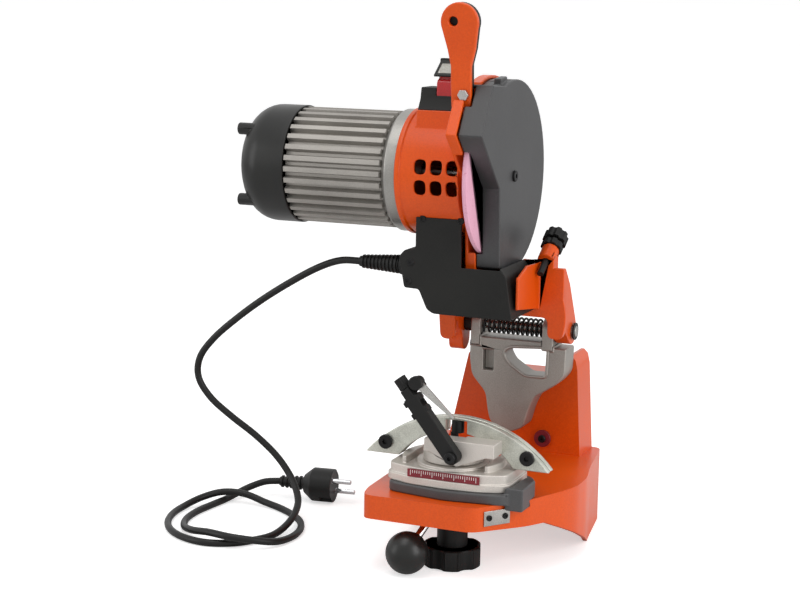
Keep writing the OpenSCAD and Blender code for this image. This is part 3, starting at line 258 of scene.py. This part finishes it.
def rounded(profile, size=0.6, steps=3):
    """The corners of an open profile rounded: each inner point becomes a quadratic curve of that size."""
    p = np.asarray(profile, float)
    before, after = p[:-2] - p[1:-1], p[2:] - p[1:-1]
    la, lb = np.linalg.norm(before, axis=1), np.linalg.norm(after, axis=1)
    a = p[1:-1] + before / la[:, None] * np.minimum(size, la * 0.45)[:, None]
    b = p[1:-1] + after / lb[:, None] * np.minimum(size, lb * 0.45)[:, None]
    t = np.linspace(0, 1, steps + 1)[None, :, None]
    curve = (1 - t) ** 2 * a[:, None] + 2 * t * (1 - t) * p[1:-1][:, None] + t ** 2 * b[:, None]
    return np.concatenate([p[:1], curve.reshape(-1, 2), p[-1:]])


def spline(points, steps=8):
    """A Catmull-Rom curve through the points: each span is a cubic of its four nearest points."""
    p = np.asarray(points, float)
    q = np.concatenate([2 * p[:1] - p[1:2], p, 2 * p[-1:] - p[-2:-1]])
    t = np.linspace(0, 1, steps, endpoint=False)[None, :, None]
    a, b, c, d = (q[i:len(q) - 3 + i][:, None] for i in range(4))
    spans = 0.5 * (2 * b + (c - a) * t + (2 * a - 5 * b + 4 * c - d) * t ** 2
                   + (3 * b - a - 3 * c + d) * t ** 3)
    return np.concatenate([spans.reshape(-1, 3), p[-1:]])


def tube(path, radius, sides=16, first=None, last=None):
    """A round tube along a path: each ring lies across the path, turned as little as may be from the last.
    first and last are the directions at its ends, where another tube goes on from it."""
    path = np.asarray(path, float)
    way = np.gradient(path, axis=0)
    if first is not None:
        way[0] = first
    if last is not None:
        way[-1] = last
    way /= np.linalg.norm(way, axis=1)[:, None]
    side = np.empty_like(way)
    side[0] = across(way[0])[0]
    for i in range(1, len(way)):
        s = side[i - 1] - way[i] * (side[i - 1] @ way[i])
        side[i] = s / np.linalg.norm(s)
    other = np.cross(way, side)
    turn = np.linspace(0, 2 * math.pi, sides, endpoint=False)
    radius = np.broadcast_to(radius, len(path))[:, None, None]
    rings = path[:, None] + radius * (np.cos(turn)[None, :, None] * side[:, None]
                                      + np.sin(turn)[None, :, None] * other[:, None])
    rings = np.concatenate([np.repeat(path[:1, None], sides, 1), rings, np.repeat(path[-1:, None], sides, 1)])
    return grid(rings)


def shank(centre, axis, length, chamfer):
    """A plain screw shank: a turned rod whose radius falls by the chamfer over its last half millimetre."""
    return lathe([(0, 0), (0, SHANK_R), (length - 0.5, SHANK_R), (length, SHANK_R - chamfer), (length, 0)],
                 centre, axis, 32)


def screw_head(centre, axis, radius, height, socket):
    """A cap screw's head: a turned rim, then a hexagon socket whose walls go straight down."""
    profile = [(0, 0), (0, radius), (height - 0.5, radius), (height, radius - 0.5), (height, socket + 0.4),
               (height - 0.05, socket), (height * 0.3, socket), (height * 0.3, 0)]
    is_socket = np.array([0, 0, 0, 0, 0, 1, 1, 0], bool)[:, None]

    def hexagon(turn, along, r):
        part = (turn % (math.pi / 3)) - math.pi / 6
        return np.where(is_socket, r * math.cos(math.pi / 6) / np.cos(part), r)
    return lathe(profile, centre, axis, 48, hexagon)


def piece(name, shape, slot, nodes=(), body=None, bevel=0.0, angle=35.0, ride=True, coat=None):
    """Makes a mesh piece in the row frame, merges its doubles, turns its faces outwards and lets it ride."""
    corners, faces = shape
    mesh = bpy.data.meshes.new(name)
    mesh.from_pydata(place(corners).tolist(), [],
                     faces if isinstance(faces, list) else np.asarray(faces).tolist())
    b = bmesh.new()
    b.from_mesh(mesh)
    bmesh.ops.remove_doubles(b, verts=b.verts, dist=2e-6)
    bmesh.ops.recalc_face_normals(b, faces=b.faces)
    b.to_mesh(mesh)
    b.free()
    return settle(name, mesh, slot, nodes, body, bevel, angle, ride, coat)


def settle(name, mesh, slot, nodes, body, bevel, angle, ride=True, coat=None):
    """Links a finished mesh with its material, edge rounding, body and the nodes that it stands for."""
    made = bpy.data.objects.new(name, mesh)
    bpy.context.scene.collection.objects.link(made)
    mesh.materials.clear()
    mesh.materials.append(FINISH[coat or slot])
    mesh.shade_smooth()
    if bevel:
        edge = made.modifiers.new("edges", "BEVEL")
        edge.width, edge.segments, edge.limit_method = bevel * MM, EDGE_STEPS, "ANGLE"
        edge.angle_limit = math.radians(angle)
        edge.use_clamp_overlap = bevel > WIDE_EDGE
        edge.harden_normals = True
    else:
        mesh.set_sharp_from_angle(angle=math.radians(angle))
    nodes = [nodes] if isinstance(nodes, str) else list(nodes)
    if ride:
        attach(made, body or BODY_OF[nodes[0]])
    if nodes:
        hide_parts(*nodes)
    return made


def tame(made, surface, reach):
    """Applies the edge rounding and brings corners that it threw farther than reach back to the surface,
    then holds the whole inside the box of the surface."""
    worn = bpy.data.meshes.new_from_object(made.evaluated_get(bpy.context.evaluated_depsgraph_get()))
    made.modifiers.clear()
    made.data = worn
    corners = np.empty(len(worn.vertices) * 3)
    worn.vertices.foreach_get("co", corners)
    corners = corners.reshape(-1, 3)
    tree = BVHTree.FromPolygons([tuple(v.co) for v in surface.vertices],
                                [tuple(f.vertices) for f in surface.polygons])
    nearest = [tree.find_nearest(c) for c in corners]
    far = np.array([n[3] for n in nearest]) > reach
    home = np.array([tuple(n[0]) for n in nearest])
    corners[far] = home[far]
    low, high = home.min(0), home.max(0)
    worn.vertices.foreach_set("co", np.clip(corners, low, high).ravel())
    worn.update()


def soften(name, cad, bevel, slot=None, angle=35.0, coat=None):
    """A copy of a CAD node with its loose triangles merged, flat faces joined and edges rounded."""
    mesh = FRAME["nodes"][cad].data.copy()
    mesh.name = name
    b = bmesh.new()
    b.from_mesh(mesh)
    bmesh.ops.remove_doubles(b, verts=b.verts, dist=1e-6)
    bmesh.ops.dissolve_limit(b, angle_limit=math.radians(FLAT_ANGLE), verts=b.verts, edges=b.edges,
                             use_dissolve_boundaries=False)
    b.to_mesh(mesh)
    b.free()
    for attribute in [a.name for a in mesh.attributes if a.name == "custom_normal"]:
        mesh.attributes.remove(mesh.attributes[attribute])
    made = settle(name, mesh, slot or SLOT_OF[cad], [cad], BODY_OF[cad], bevel, angle, coat=coat)
    tame(made, FRAME["nodes"][cad].data, bevel * EDGE_REACH * MM)
    return made


def dress(*cads):
    """Gives CAD nodes that stay as they are their finish."""
    for cad in cads:
        mesh = FRAME["nodes"][cad].data
        mesh.materials.clear()
        mesh.materials.append(FINISH[SLOT_OF[cad]])


def turned(points, degrees, axis, centre=(0, 0, 0)):
    """Points turned about an axis through a centre: the rotation matrix from the axis and the angle."""
    turn = np.array(Matrix.Rotation(math.radians(degrees), 3, tuple(axis)))
    return (np.asarray(points, float) - centre) @ turn.T + centre


# ------------------------------------------------------------------ sizes and colours
class SharpenerLooks(bpy.types.PropertyGroup):
    """Colours of the main finishes."""
    paint: FloatVectorProperty(name="Paint", description="Powder coat of base, head and handle, sRGB",
                               subtype="COLOR_GAMMA", size=3, min=0, max=1, default=(0.88, 0.325, 0.02))
    cover: FloatVectorProperty(name="Wheel cover", description="Plastic of the wheel cover, sRGB",
                               subtype="COLOR_GAMMA", size=3, min=0, max=1, default=(0.25, 0.25, 0.255))
    wheel: FloatVectorProperty(name="Wheel", description="Abrasive of the grinding wheel, sRGB",
                               subtype="COLOR_GAMMA", size=3, min=0, max=1, default=(0.90, 0.70, 0.78))


class SharpenerSizes(bpy.types.PropertyGroup):
    """Sizes of the details that the frame doesn't hold."""
    cast_edge: FloatProperty(name="Cast edges", description="Rounding of the cast parts' edges",
                             unit="LENGTH", min=0.0002, max=0.003, default=0.0014)
    trim_edge: FloatProperty(name="Small edges", description="Rounding of moulded and turned edges",
                             unit="LENGTH", min=0.0001, max=0.0015, default=0.0005)
    cord: FloatProperty(name="Cord", description="Diameter of the power cord",
                        unit="LENGTH", min=0.005, max=0.0068, default=0.0066)
    fins: IntProperty(name="Fins", description="Number of cooling fins round the motor",
                      min=24, max=36, default=32)
    light: FloatProperty(name="Light", description="Strength of the three soft lamps",
                         min=0.2, max=3, default=1.0)


def sizes():
    return bpy.context.scene.sharpener_sizes


# ------------------------------------------------------------------ stage and cord
LENS = 79.5                            # mm, on a sensor 36 mm wide
CAMERA_AT = (0.5274, -1.4596, 0.501)   # metres; x is counted from the vise axis


def soft_lamp(name, at, towards, size, watts):
    """A square softbox that faces a point."""
    lamp = bpy.data.lights.new(name, "AREA")
    lamp.shape, lamp.size, lamp.size_y, lamp.energy = "RECTANGLE", *size, watts * sizes().light
    made = bpy.data.objects.new(name, lamp)
    made.location = at
    way = np.array(towards, float) - at
    a, b = across(-way)
    made.matrix_world = Matrix([[*r, t] for r, t in zip(np.stack([a, b, -way / np.linalg.norm(way)], 1), at)]
                               + [[0, 0, 0, 1]])
    bpy.context.scene.collection.objects.link(made)


class SHARPENER_OT_stage(bpy.types.Operator):
    """Camera at the photograph's angle, pale floor, white surroundings and three softboxes"""
    bl_idname = "sharpener.stage"
    bl_label = "Stage"

    def execute(self, context):
        scene = context.scene
        camera = bpy.data.cameras.new("camera")
        camera.lens, camera.sensor_width, camera.clip_end = LENS, 36.0, 100.0
        seen = bpy.data.objects.new("camera", camera)
        right = (0.92187284, 0.3871438, 0.0164363)
        up = (-0.08309854, 0.15608929, 0.98424121)
        back = (0.37847735, -0.90871107, 0.17606556)
        at = (VISE[0] * MM + CAMERA_AT[0], *CAMERA_AT[1:])
        seen.matrix_world = Matrix([[right[i], up[i], back[i], at[i]] for i in range(3)] + [[0, 0, 0, 1]])
        scene.collection.objects.link(seen)
        scene.camera = seen
        scene.view_settings.view_transform = "Standard"

        world = bpy.data.worlds.new("white_room")
        world.use_nodes = True
        tree = world.node_tree
        tree.nodes.clear()
        ray = node(tree, "LightPath")
        seen_or_mirrored = node(tree, "Math", {0: ray.outputs["Is Camera Ray"],
                                               1: ray.outputs["Is Glossy Ray"]},
                                operation="MAXIMUM").outputs[0]
        shown = node(tree, "Math", {0: seen_or_mirrored, 1: ray.outputs["Is Transmission Ray"]},
                     operation="MAXIMUM").outputs[0]
        strength = node(tree, "MapRange", {"Value": shown, "To Min": 0.5, "To Max": 1.0}).outputs[0]
        sky = node(tree, "Background", {"Color": linear("#FFFFFF"), "Strength": strength})
        node(tree, "OutputWorld", {"Surface": sky.outputs[0]})
        scene.world = world

        soft_lamp("key_right", (2.0, -0.55, 0.95), (0.1, 0, 0.25), (1.1, 1.6), 24)
        soft_lamp("top", (-0.2, -0.5, 2.2), (0, 0, 0.2), (1.6, 1.0), 15)
        soft_lamp("fill_left", (-1.7, -1.3, 0.8), (0, 0, 0.3), (0.7, 1.4), 9)

        floor = bpy.data.materials.new("pale_matt_floor")
        floor.use_nodes = True
        tree = floor.node_tree
        tree.nodes.clear()
        glow = node(tree, "MapRange", {"Value": node(tree, "LightPath").outputs["Is Camera Ray"],
                                       "To Max": 0.55})
        grain = node(tree, "TexNoise", {"Vector": node(tree, "TexCoord").outputs["Object"], "Scale": 9.0})
        tone = node(tree, "Mix", {0: grain.outputs["Fac"], 6: linear("#EDEDED"), 7: linear("#F2F2F2")},
                    data_type="RGBA").outputs[2]
        matt = node(tree, "BsdfPrincipled", {"Base Color": tone, "Roughness": 0.9, "Specular IOR Level": 0.1,
                                             "Emission Color": linear("#FFFFFF"),
                                             "Emission Strength": glow.outputs[0]})
        node(tree, "OutputMaterial", {"Surface": matt.outputs["BSDF"]})
        mesh = bpy.data.meshes.new("floor")
        side = np.linspace(-60, 60, 13)
        plane = np.stack(np.meshgrid(side, side, [0.0], indexing="ij"), -1)[:, :, 0]
        corners, faces = grid(plane, close_v=False)
        mesh.from_pydata(corners.tolist(), [], faces.tolist())
        mesh.materials.append(floor)
        ground = bpy.data.objects.new("floor", mesh)
        scene.collection.objects.link(ground)
        return {"FINISHED"}


LAY, OVER = 3.5, 11.4   # the cord's middle above the bench, and where it passes over itself
CORD = [[-117, 60, 252], [-138, 60, 251], [-160, 60, 243], [-187, 60, 228],
        [-218, 60, 208], [-246, 60, 187], [-270, 60, 166], [-285, 60, 146], [-287, 61, 126],
        [-275, 63, 107], [-254, 66, 90], [-230, 70, 73], [-208, 71, 55], [-190, 66, 37],
        [-177, 54, 22], [-171, 36, 13.5], [-170, 15, 7], [-173, -6, LAY], [-181, -26, LAY],
        [-195, -43, LAY], [-217, -52, LAY], [-241, -48, LAY], [-263, -34, LAY], [-279, -13, LAY],
        [-288, 12, LAY], [-289.7, 36, 4], [-282, 58, 8], [-267, 73, OVER], [-247, 80, 10],
        [-225, 79, 5], [-205, 72, LAY], [-186, 59, LAY], [-169, 42, LAY], [-158, 20, LAY],
        [-155, -4, LAY], [-160, -27, 5], [-174, -43, 9], [-194, -50, OVER], [-218, -46, OVER],
        [-240, -36, 7.5], [-258, -19, 4], [-268, 2, LAY], [-271, 26, LAY], [-269, 50, LAY],
        [-266, 74, LAY], [-263, 91, 5], [-255, 104, 9.5], [-241, 111.5, 15], [-226, 114, 17]]
CORD_JOIN = 4           # the cord's point that rides on the tilting arm
PLUG_END = np.array([-226.0, 114.0, 17.0])
PLUG_WAY = np.array([math.cos(math.radians(8)), math.sin(math.radians(8)), 0.0])


class SHARPENER_OT_cord(bpy.types.Operator):
    """The power cord in two seamless pieces, one bending from head to arm and one from arm to bench"""
    bl_idname = "sharpener.cord"
    bl_label = "Power cord"

    def execute(self, context):
        steps, width = 8, sizes().cord
        path = spline(CORD, steps)
        join_at = CORD_JOIN * steps
        upper, lower = path[:join_at + 1], path[join_at:]
        way = path[join_at + 1] - path[join_at - 1]

        def length(points):
            return float(np.linalg.norm(np.diff(points, axis=0), axis=1).sum() * MM)

        top = piece("cord_upper", tube(upper, width / MM / 2, 16, last=way), "black_rubber", ride=False)
        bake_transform(top, "arm", "head", start=place(upper[-1]), end=place(upper[0]))
        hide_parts("power_cord")

        low = piece("cord_lower", tube(lower, width / MM / 2, 16, first=way), "black_rubber", ride=False)
        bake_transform(low, "base", "arm", start=place([*lower[0][:2], 24]), end=place(lower[0]))
        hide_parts("power_cord")
        plug = make_plug()
        return {"FINISHED"}


def make_plug():
    """Boot: a tapering sleeve whose radius rises in five collars.
    Plug: the frame's own body and pins with their edges rounded."""
    along = np.linspace(0.6, 26, 110)
    collar = np.clip(np.cos((along - 3.3) / 4.6 * 2 * math.pi) * 2.2, -1, 1) * 0.5 + 0.5
    radius = 4.5 + along * 0.05 + collar * (along > 1.2) * (along < 24) * 1.3
    profile = [(0.6, 3.2), *zip(along, radius), (26, 3.0)]
    boot = piece("plug_boot", lathe(profile, PLUG_END, PLUG_WAY, 32), "black_rubber", "cord_boot")
    body = soften("plug_shell", "plug_body", 0.8)
    pins = soften("plug_contacts", "plug_pins", 0.6, "chrome")
    return [boot, body, pins]


# ------------------------------------------------------------------ base and vise
class SHARPENER_OT_base(bpy.types.Operator):
    """Cast base with its index disc, screws and metal strip"""
    bl_idname = "sharpener.base"
    bl_label = "Base"

    def execute(self, context):
        edge = sizes().cast_edge / MM
        soften("base_shell", "base_casting", edge * 1.3)
        soften("index_disc_face", "index_disc", 0.5)
        piece("index_disc_bolt", screw_head((31.6, 149, 81.5), -Y, 3.6, 2.0, 1.7), "black_steel",
              "index_disc_screw")
        soften("edge_strip_plate", "edge_strip", 0.3)
        slant = math.degrees(math.atan2(44, 34))
        heads = []
        for along in (17, 33):
            at = turned([along, -1.3, 58.0], slant, Z) + (36, -51, 0)
            heads.append(screw_head(at, turned(-Y, slant, Z), 2.6, 1.3, 1.1))
        piece("edge_strip_screws", join(*heads), "black_steel", "strip_screws")
        return {"FINISHED"}


class SHARPENER_OT_vise(bpy.types.Operator):
    """Saddle, fixed and turning vise blocks, scale with its ticks, rails and their screws"""
    bl_idname = "sharpener.vise"
    bl_label = "Vise"

    def execute(self, context):
        trim = sizes().trim_edge / MM
        soften("saddle", "vise_saddle", 1.6)
        # the vise base takes the lit copy of the cast aluminium: painted light
        soften("vise_base", "vise_body", 1.0, coat="lit_cast_aluminium")
        soften("scale_band", "angle_scale", 0.2)
        # the turning block takes the lit copy of the cast aluminium: painted light
        soften("turning_block", "vise_block", 0.9, coat="lit_cast_aluminium")
        soften("rail_front", "front_rail", 0.8)
        soften("rail_rear", "rear_rail", 0.8)
        soften("stud", "vise_stud", trim)
        soften("clamp_cam", "clamp_shaft", trim)
        ticks = []
        for i, x in enumerate(np.linspace(-27, 33, 31)):
            tall = 4.6 if i % 5 == 0 else 2.6
            ticks.append(bar([x - 0.22, -34.22, 90.2 - tall], [x + 0.22, -33.9, 90.2]))
        piece("scale_ticks", join(*ticks), "white_print", body="base")
        bolts = []
        for x in (-62.5, 68.5):
            bolts.append(screw_head((x, -5.0, 104.5), -Y, 6.4, 3.0, 2.6))
            bolts.append(shank((x, -4.9, 104.5), Y, 15.5, 0.4))
        piece("rail_bolts", join(*bolts), "black_steel", "rail_screws")
        return {"FINISHED"}


def bar(low, high):
    """A rectangular bar between two corners: the eight corner points and six faces."""
    pick = np.array([[x, y, z] for x in (0, 1) for y in (0, 1) for z in (0, 1)])
    corners = np.where(pick, high, low).astype(float)
    faces = [[0, 1, 3, 2], [4, 6, 7, 5], [0, 4, 5, 1], [2, 3, 7, 6], [0, 2, 6, 4], [1, 5, 7, 3]]
    return corners, faces


class SHARPENER_OT_clamp(bpy.types.Operator):
    """Clamp lever with its ball, and the lock handwheel under the table"""
    bl_idname = "sharpener.clamp"
    bl_label = "Clamp"

    def execute(self, context):
        soften("clamp_rod", "clamp_lever", 0.6)
        ball = np.array([-25.0, -44.0, 19.0])
        turn = math.atan2(ball[1], ball[0])
        root = np.array([18.5 * math.cos(turn), 18.5 * math.sin(turn), 52.65])
        way = (root - ball) / np.linalg.norm(root - ball)
        # a sphere that ends in a small flat collar round the rod
        angle = np.linspace(0, math.pi * 0.885, 48)
        sphere = np.stack([-18.5 * np.cos(angle), 18.5 * np.sin(angle)], 1)
        profile = [*sphere, (17.6, 5.6), (18.1, 5.0), (18.1, 3.55), (9.5, 3.55), (9.5, 0)]
        piece("ball_grip", lathe(profile, ball, way, 72), "gloss_black", "ball_knob")
        soften("handwheel", "lock_handwheel", 1.6)
        return {"FINISHED"}


class SHARPENER_OT_chain_stop(bpy.types.Operator):
    """Chain stop arm with its knurled knobs and pawl"""
    bl_idname = "sharpener.chain_stop"
    bl_label = "Chain stop"

    def execute(self, context):
        soften("stop_lever", "stop_arm", 0.7)
        soften("stop_adjuster", "stop_knob", 0.35)
        soften("pawl", "chain_pawl", 0.4)
        soften("pawl_grip", "pawl_knob", 0.5)
        seat = (11, -38.6, 106)
        piece("stop_pivot_bolt", join(screw_head(seat, -Y, 5, 3.2, 2.0), shank(seat, Y, 24.6, 0.5)),
              "black_steel", "stop_pivot_screw")
        return {"FINISHED"}


# ------------------------------------------------------------------ arm
class SHARPENER_OT_arm(bpy.types.Operator):
    """Tilting arm with the raised lip of its window, hinge pin, spacer, tilt stud and knob"""
    bl_idname = "sharpener.arm"
    bl_label = "Tilting arm"

    def execute(self, context):
        trim = sizes().trim_edge / MM
        soften("arm_body", "arm_support", 1.5)
        soften("tilt_bolt", "tilt_stud", trim)
        soften("tilt_grip", "tilt_knob", 1.5)
        soften("hinge_rod", "hinge_pin", trim)
        soften("hinge_rings", "pin_rings", 0.3)
        soften("hinge_spacer", "pin_spacer", 0.5)
        # bead round the window: a half-round section carried round its outline
        outline = np.array([[5, 171.5], [-1, 166], [4, 157], [21, 146], [41, 146.4], [42, 174]], float)
        a, b = np.roll(outline, 1, 0), np.roll(outline, -1, 0)
        t = np.linspace(0, 1, 7)[None, :, None]
        pull = outline[:, None]
        la = pull + (a - outline)[:, None] * (4 / np.linalg.norm(a - outline, axis=1))[:, None, None]
        lb = pull + (b - outline)[:, None] * (4 / np.linalg.norm(b - outline, axis=1))[:, None, None]
        ring = ((1 - t) ** 2 * la + 2 * t * (1 - t) * pull + t ** 2 * lb).reshape(-1, 2)
        centre = ring.mean(0)
        way = np.roll(ring, -1, 0) - np.roll(ring, 1, 0)
        out = np.stack([way[:, 1], -way[:, 0]], 1) / np.linalg.norm(way, axis=1)[:, None]
        out *= np.sign(((ring - centre) * out).sum(1))[:, None]
        turn = np.linspace(0, 2 * math.pi, 13)[:-1]
        flat = ring[:, None] + out[:, None] * (0.4 + 1.5 * np.cos(turn))[None, :, None]
        points = np.stack([flat[..., 0], 125.6 - np.broadcast_to(1.3 * np.sin(turn), flat.shape[:2]),
                           flat[..., 1]], -1)
        piece("arm_window_bead", grid(points, close_u=True), "cast_aluminium", body="arm")
        return {"FINISHED"}


class SHARPENER_OT_spring(bpy.types.Operator):
    """Return spring: one wire wound round the hinge pin, with straight ends"""
    bl_idname = "sharpener.spring"
    bl_label = "Return spring"

    def execute(self, context):
        radius, turns, left, right = 7.6, 12, -21.6, 33.8
        turn = np.linspace(0, 1, turns * 28 + 1)
        a = math.pi - 2 * math.pi * turns * turn
        coil = np.stack([left + (right - left) * turn, radius * np.cos(a), radius * np.sin(a)], 1)
        path = np.concatenate([[[left, -radius, -7], [left, -radius, -4], [left, -radius, -2]], coil[1:],
                               [[right, -radius, 2], [right, -radius, 4], [right, -radius, 7]]])
        piece("spring_wire", tube(path + PIN, 1.1, 12), "black_steel", "return_spring")
        return {"FINISHED"}


# ------------------------------------------------------------------ head
class SHARPENER_OT_head(bpy.types.Operator):
    """Head casting with the lip of its drum, wheel cover and its screw"""
    bl_idname = "sharpener.head"
    bl_label = "Head"

    def execute(self, context):
        soften("head_shell", "head_casting", 1.0)
        lip = [(0.2, 52.4), (0.2, 56.4), (0.7, 57.0), (4.4, 57.0), (5.2, 56.2), (6.2, 55.6), (6.2, 52.4),
               (0.2, 52.4)]
        piece("drum_lip", lathe(rounded(lip, 0.5), WHEEL - (72, 0, 0), X, 128), "orange_paint", body="head")
        soften("wheel_cover", "guard_cover", 1.3)
        piece("wheel_cover_bolt", screw_head(WHEEL + (20, 0, 0), X, 5, 2.3, 2.2), "black_steel",
              "cover_screw")
        return {"FINISHED"}


class SHARPENER_OT_electrics(bpy.types.Operator):
    """Electrics box with its lid screws, and the ribbed strain relief"""
    bl_idname = "sharpener.electrics"
    bl_label = "Electrics box"

    def execute(self, context):
        soften("electrics_shell", "electrics_box", 0.9)
        corners = (-60, 258), (-62, 241), (-49, 298), (-13, 298)
        heads = [screw_head((x, 38.05, z), -Y, 3.2, 0.9, 1.5) for x, z in corners]
        piece("electrics_screws", join(*heads), "black_steel", body="head")
        # a cone from the thin end, with eleven rings: radius = cone + ring height * rounded square wave
        along = np.linspace(0, 41, 200)
        wave = np.clip(np.cos(along / 3.7 * 2 * math.pi) * 3, -1, 1) * 0.5 + 0.5
        radius = 4.8 + along * 0.068 + 1.25 * wave * (along > 1.5) * (along < 40)
        profile = [(0, 3.45), *zip(along, radius), (41, 9.2), (46.2, 9.4), (46.4, 8.0), (46.4, 3.45)]
        piece("strain_relief_sleeve", lathe(profile, (-118, 60, 252), X, 48), "black_rubber", "strain_relief")
        return {"FINISHED"}


class SHARPENER_OT_switch(bpy.types.Operator):
    """Switch housing, its red button, and the flap with its clear pane"""
    bl_idname = "sharpener.switch"
    bl_label = "Switch"

    def execute(self, context):
        soften("switch_shell", "switch_housing", 0.8)
        soften("switch_button", "switch_rocker", 0.7)
        soften("flap_frame", "switch_flap", 0.35)
        soften("flap_pane", "flap_window", 0.25)
        return {"FINISHED"}


class SHARPENER_OT_handle(bpy.types.Operator):
    """Handle, its black backing and its screw, and the depth stop"""
    bl_idname = "sharpener.handle"
    bl_label = "Handle"

    def execute(self, context):
        soften("handle_paddle", "handle", 1.6)
        soften("handle_backing", "handle_back", 1.2)
        soften("handle_bolt", "handle_screw", 0.4)
        soften("depth_screw", "depth_stop_screw", 0.4, "black_plastic")
        soften("depth_nut", "depth_lock_nut", 0.5)
        return {"FINISHED"}


# ------------------------------------------------------------------ motor
class SHARPENER_OT_motor(bpy.types.Operator):
    """Finned motor housing, flange ring and end cap"""
    bl_idname = "sharpener.motor"
    bl_label = "Motor"

    def execute(self, context):
        # radius = core + fin depth * a rounded square wave of the angle, the same all along the motor
        fins, core, depth, sides = sizes().fins, 47.9, 5.0, sizes().fins * 14
        turn = np.linspace(0, 2 * math.pi, sides, endpoint=False)
        wave = np.clip(np.cos(turn * fins) * 2.6 + 0.35, -1, 1)
        fin = core + depth * (0.5 + 0.5 * np.sin(wave * math.pi / 2))
        profile = np.array([[-182.4, 0.0, 40.0], [-182.4, 0.0, 0.96], [-181.6, 0.0, 1.0], *[
            [x, 0.0, 1.0] for x in np.linspace(-176, -93, 8)], [-87.9, 0.0, 1.0], [-87.1, 0.0, 0.96],
            [-87.1, 0.0, 40.0]])
        radius = np.where(profile[:, 2:] > 1.5, profile[:, 2:], profile[:, 2:] * fin[None, :])
        points = np.stack([np.broadcast_to(profile[:, :1], radius.shape), WHEEL[1] - radius * np.sin(turn),
                           WHEEL[2] + radius * np.cos(turn)], -1)
        piece("motor_fins", grid(points), "cast_aluminium", "motor_housing", angle=60)
        soften("motor_flange", "motor_ring", 0.8)
        soften("motor_end_cap", "motor_cap", 0.7)
        rim = [(47.5, 29.0), (49.0, 30.8), (51.2, 30.2), (51.9, 29.0), (51.9, 27.6), (50.8, 27.0), (47.5, 27.0),
               (47.5, 29.0)]
        cap_root = WHEEL - (CAP_ROOT, 0, 0)
        piece("cap_rim", lathe(rounded(rim, 0.7), cap_root, -X, 96), "gloss_black", body="head")
        # painted reflection: a thin grey band on the black end cap where the white surroundings glint off its
        # edge
        plate = [(51.05, 23.6), (51.5, 23.8), (51.5, 26.2), (51.05, 26.4), (50.9, 25), (51.05, 23.6)]
        piece("cap_painted_reflection_band", lathe(plate, cap_root, -X, 96), "ring_grey", body="head")
        dress("stator", "windings", "bearings", "rotor_core", "motor_shaft", "cooling_fan")
        return {"FINISHED"}


class SHARPENER_OT_wheel(bpy.types.Operator):
    """Grinding wheel between its flanges, with its nut"""
    bl_idname = "sharpener.wheel"
    bl_label = "Grinding wheel"

    def execute(self, context):
        profile = rounded([(-2, 11.15), (-2, 72.5), (2, 72.5), (2, 11.15), (-2, 11.15)], 0.8, 4)
        piece("abrasive_wheel", lathe(profile, WHEEL, X, 192), "wheel_grit", "grinding_wheel")
        soften("flange_inner", "inner_flange", 0.4)
        soften("flange_outer", "outer_flange", 0.4)
        soften("arbor_nut", "shaft_nut", 0.4)
        return {"FINISHED"}


STEPS = (SHARPENER_OT_stage, SHARPENER_OT_cord, SHARPENER_OT_base, SHARPENER_OT_vise, SHARPENER_OT_clamp,
         SHARPENER_OT_chain_stop, SHARPENER_OT_arm, SHARPENER_OT_spring, SHARPENER_OT_head,
         SHARPENER_OT_electrics, SHARPENER_OT_switch, SHARPENER_OT_handle, SHARPENER_OT_motor,
         SHARPENER_OT_wheel)


class SHARPENER_PT_panel(bpy.types.Panel):
    """Lists the colours, the sizes and the pieces"""
    bl_idname = "SHARPENER_PT_panel"
    bl_label = "Chain sharpener"
    bl_space_type = "VIEW_3D"
    bl_region_type = "UI"
    bl_category = "Sharpener"

    def draw(self, context):
        for group in (context.scene.sharpener_looks, context.scene.sharpener_sizes):
            for key in group.bl_rna.properties.keys():
                if key not in ("rna_type", "name"):
                    self.layout.prop(group, key)
        for step in STEPS:
            self.layout.operator(step.bl_idname)


CLASSES = (SharpenerLooks, SharpenerSizes, *STEPS, SHARPENER_PT_panel)


def register():
    for made in CLASSES:
        bpy.utils.register_class(made)
    bpy.types.Scene.sharpener_looks = PointerProperty(type=SharpenerLooks)
    bpy.types.Scene.sharpener_sizes = PointerProperty(type=SharpenerSizes)


def unregister():
    del bpy.types.Scene.sharpener_sizes
    del bpy.types.Scene.sharpener_looks
    for made in reversed(CLASSES):
        bpy.utils.unregister_class(made)


def main():
    register()
    FINISH.update(make_finishes(bpy.context.scene.sharpener_looks))
    for step in STEPS:
        group, name = step.bl_idname.split(".")
        getattr(getattr(bpy.ops, group), name)()


if __name__ == "__main__":
    main()
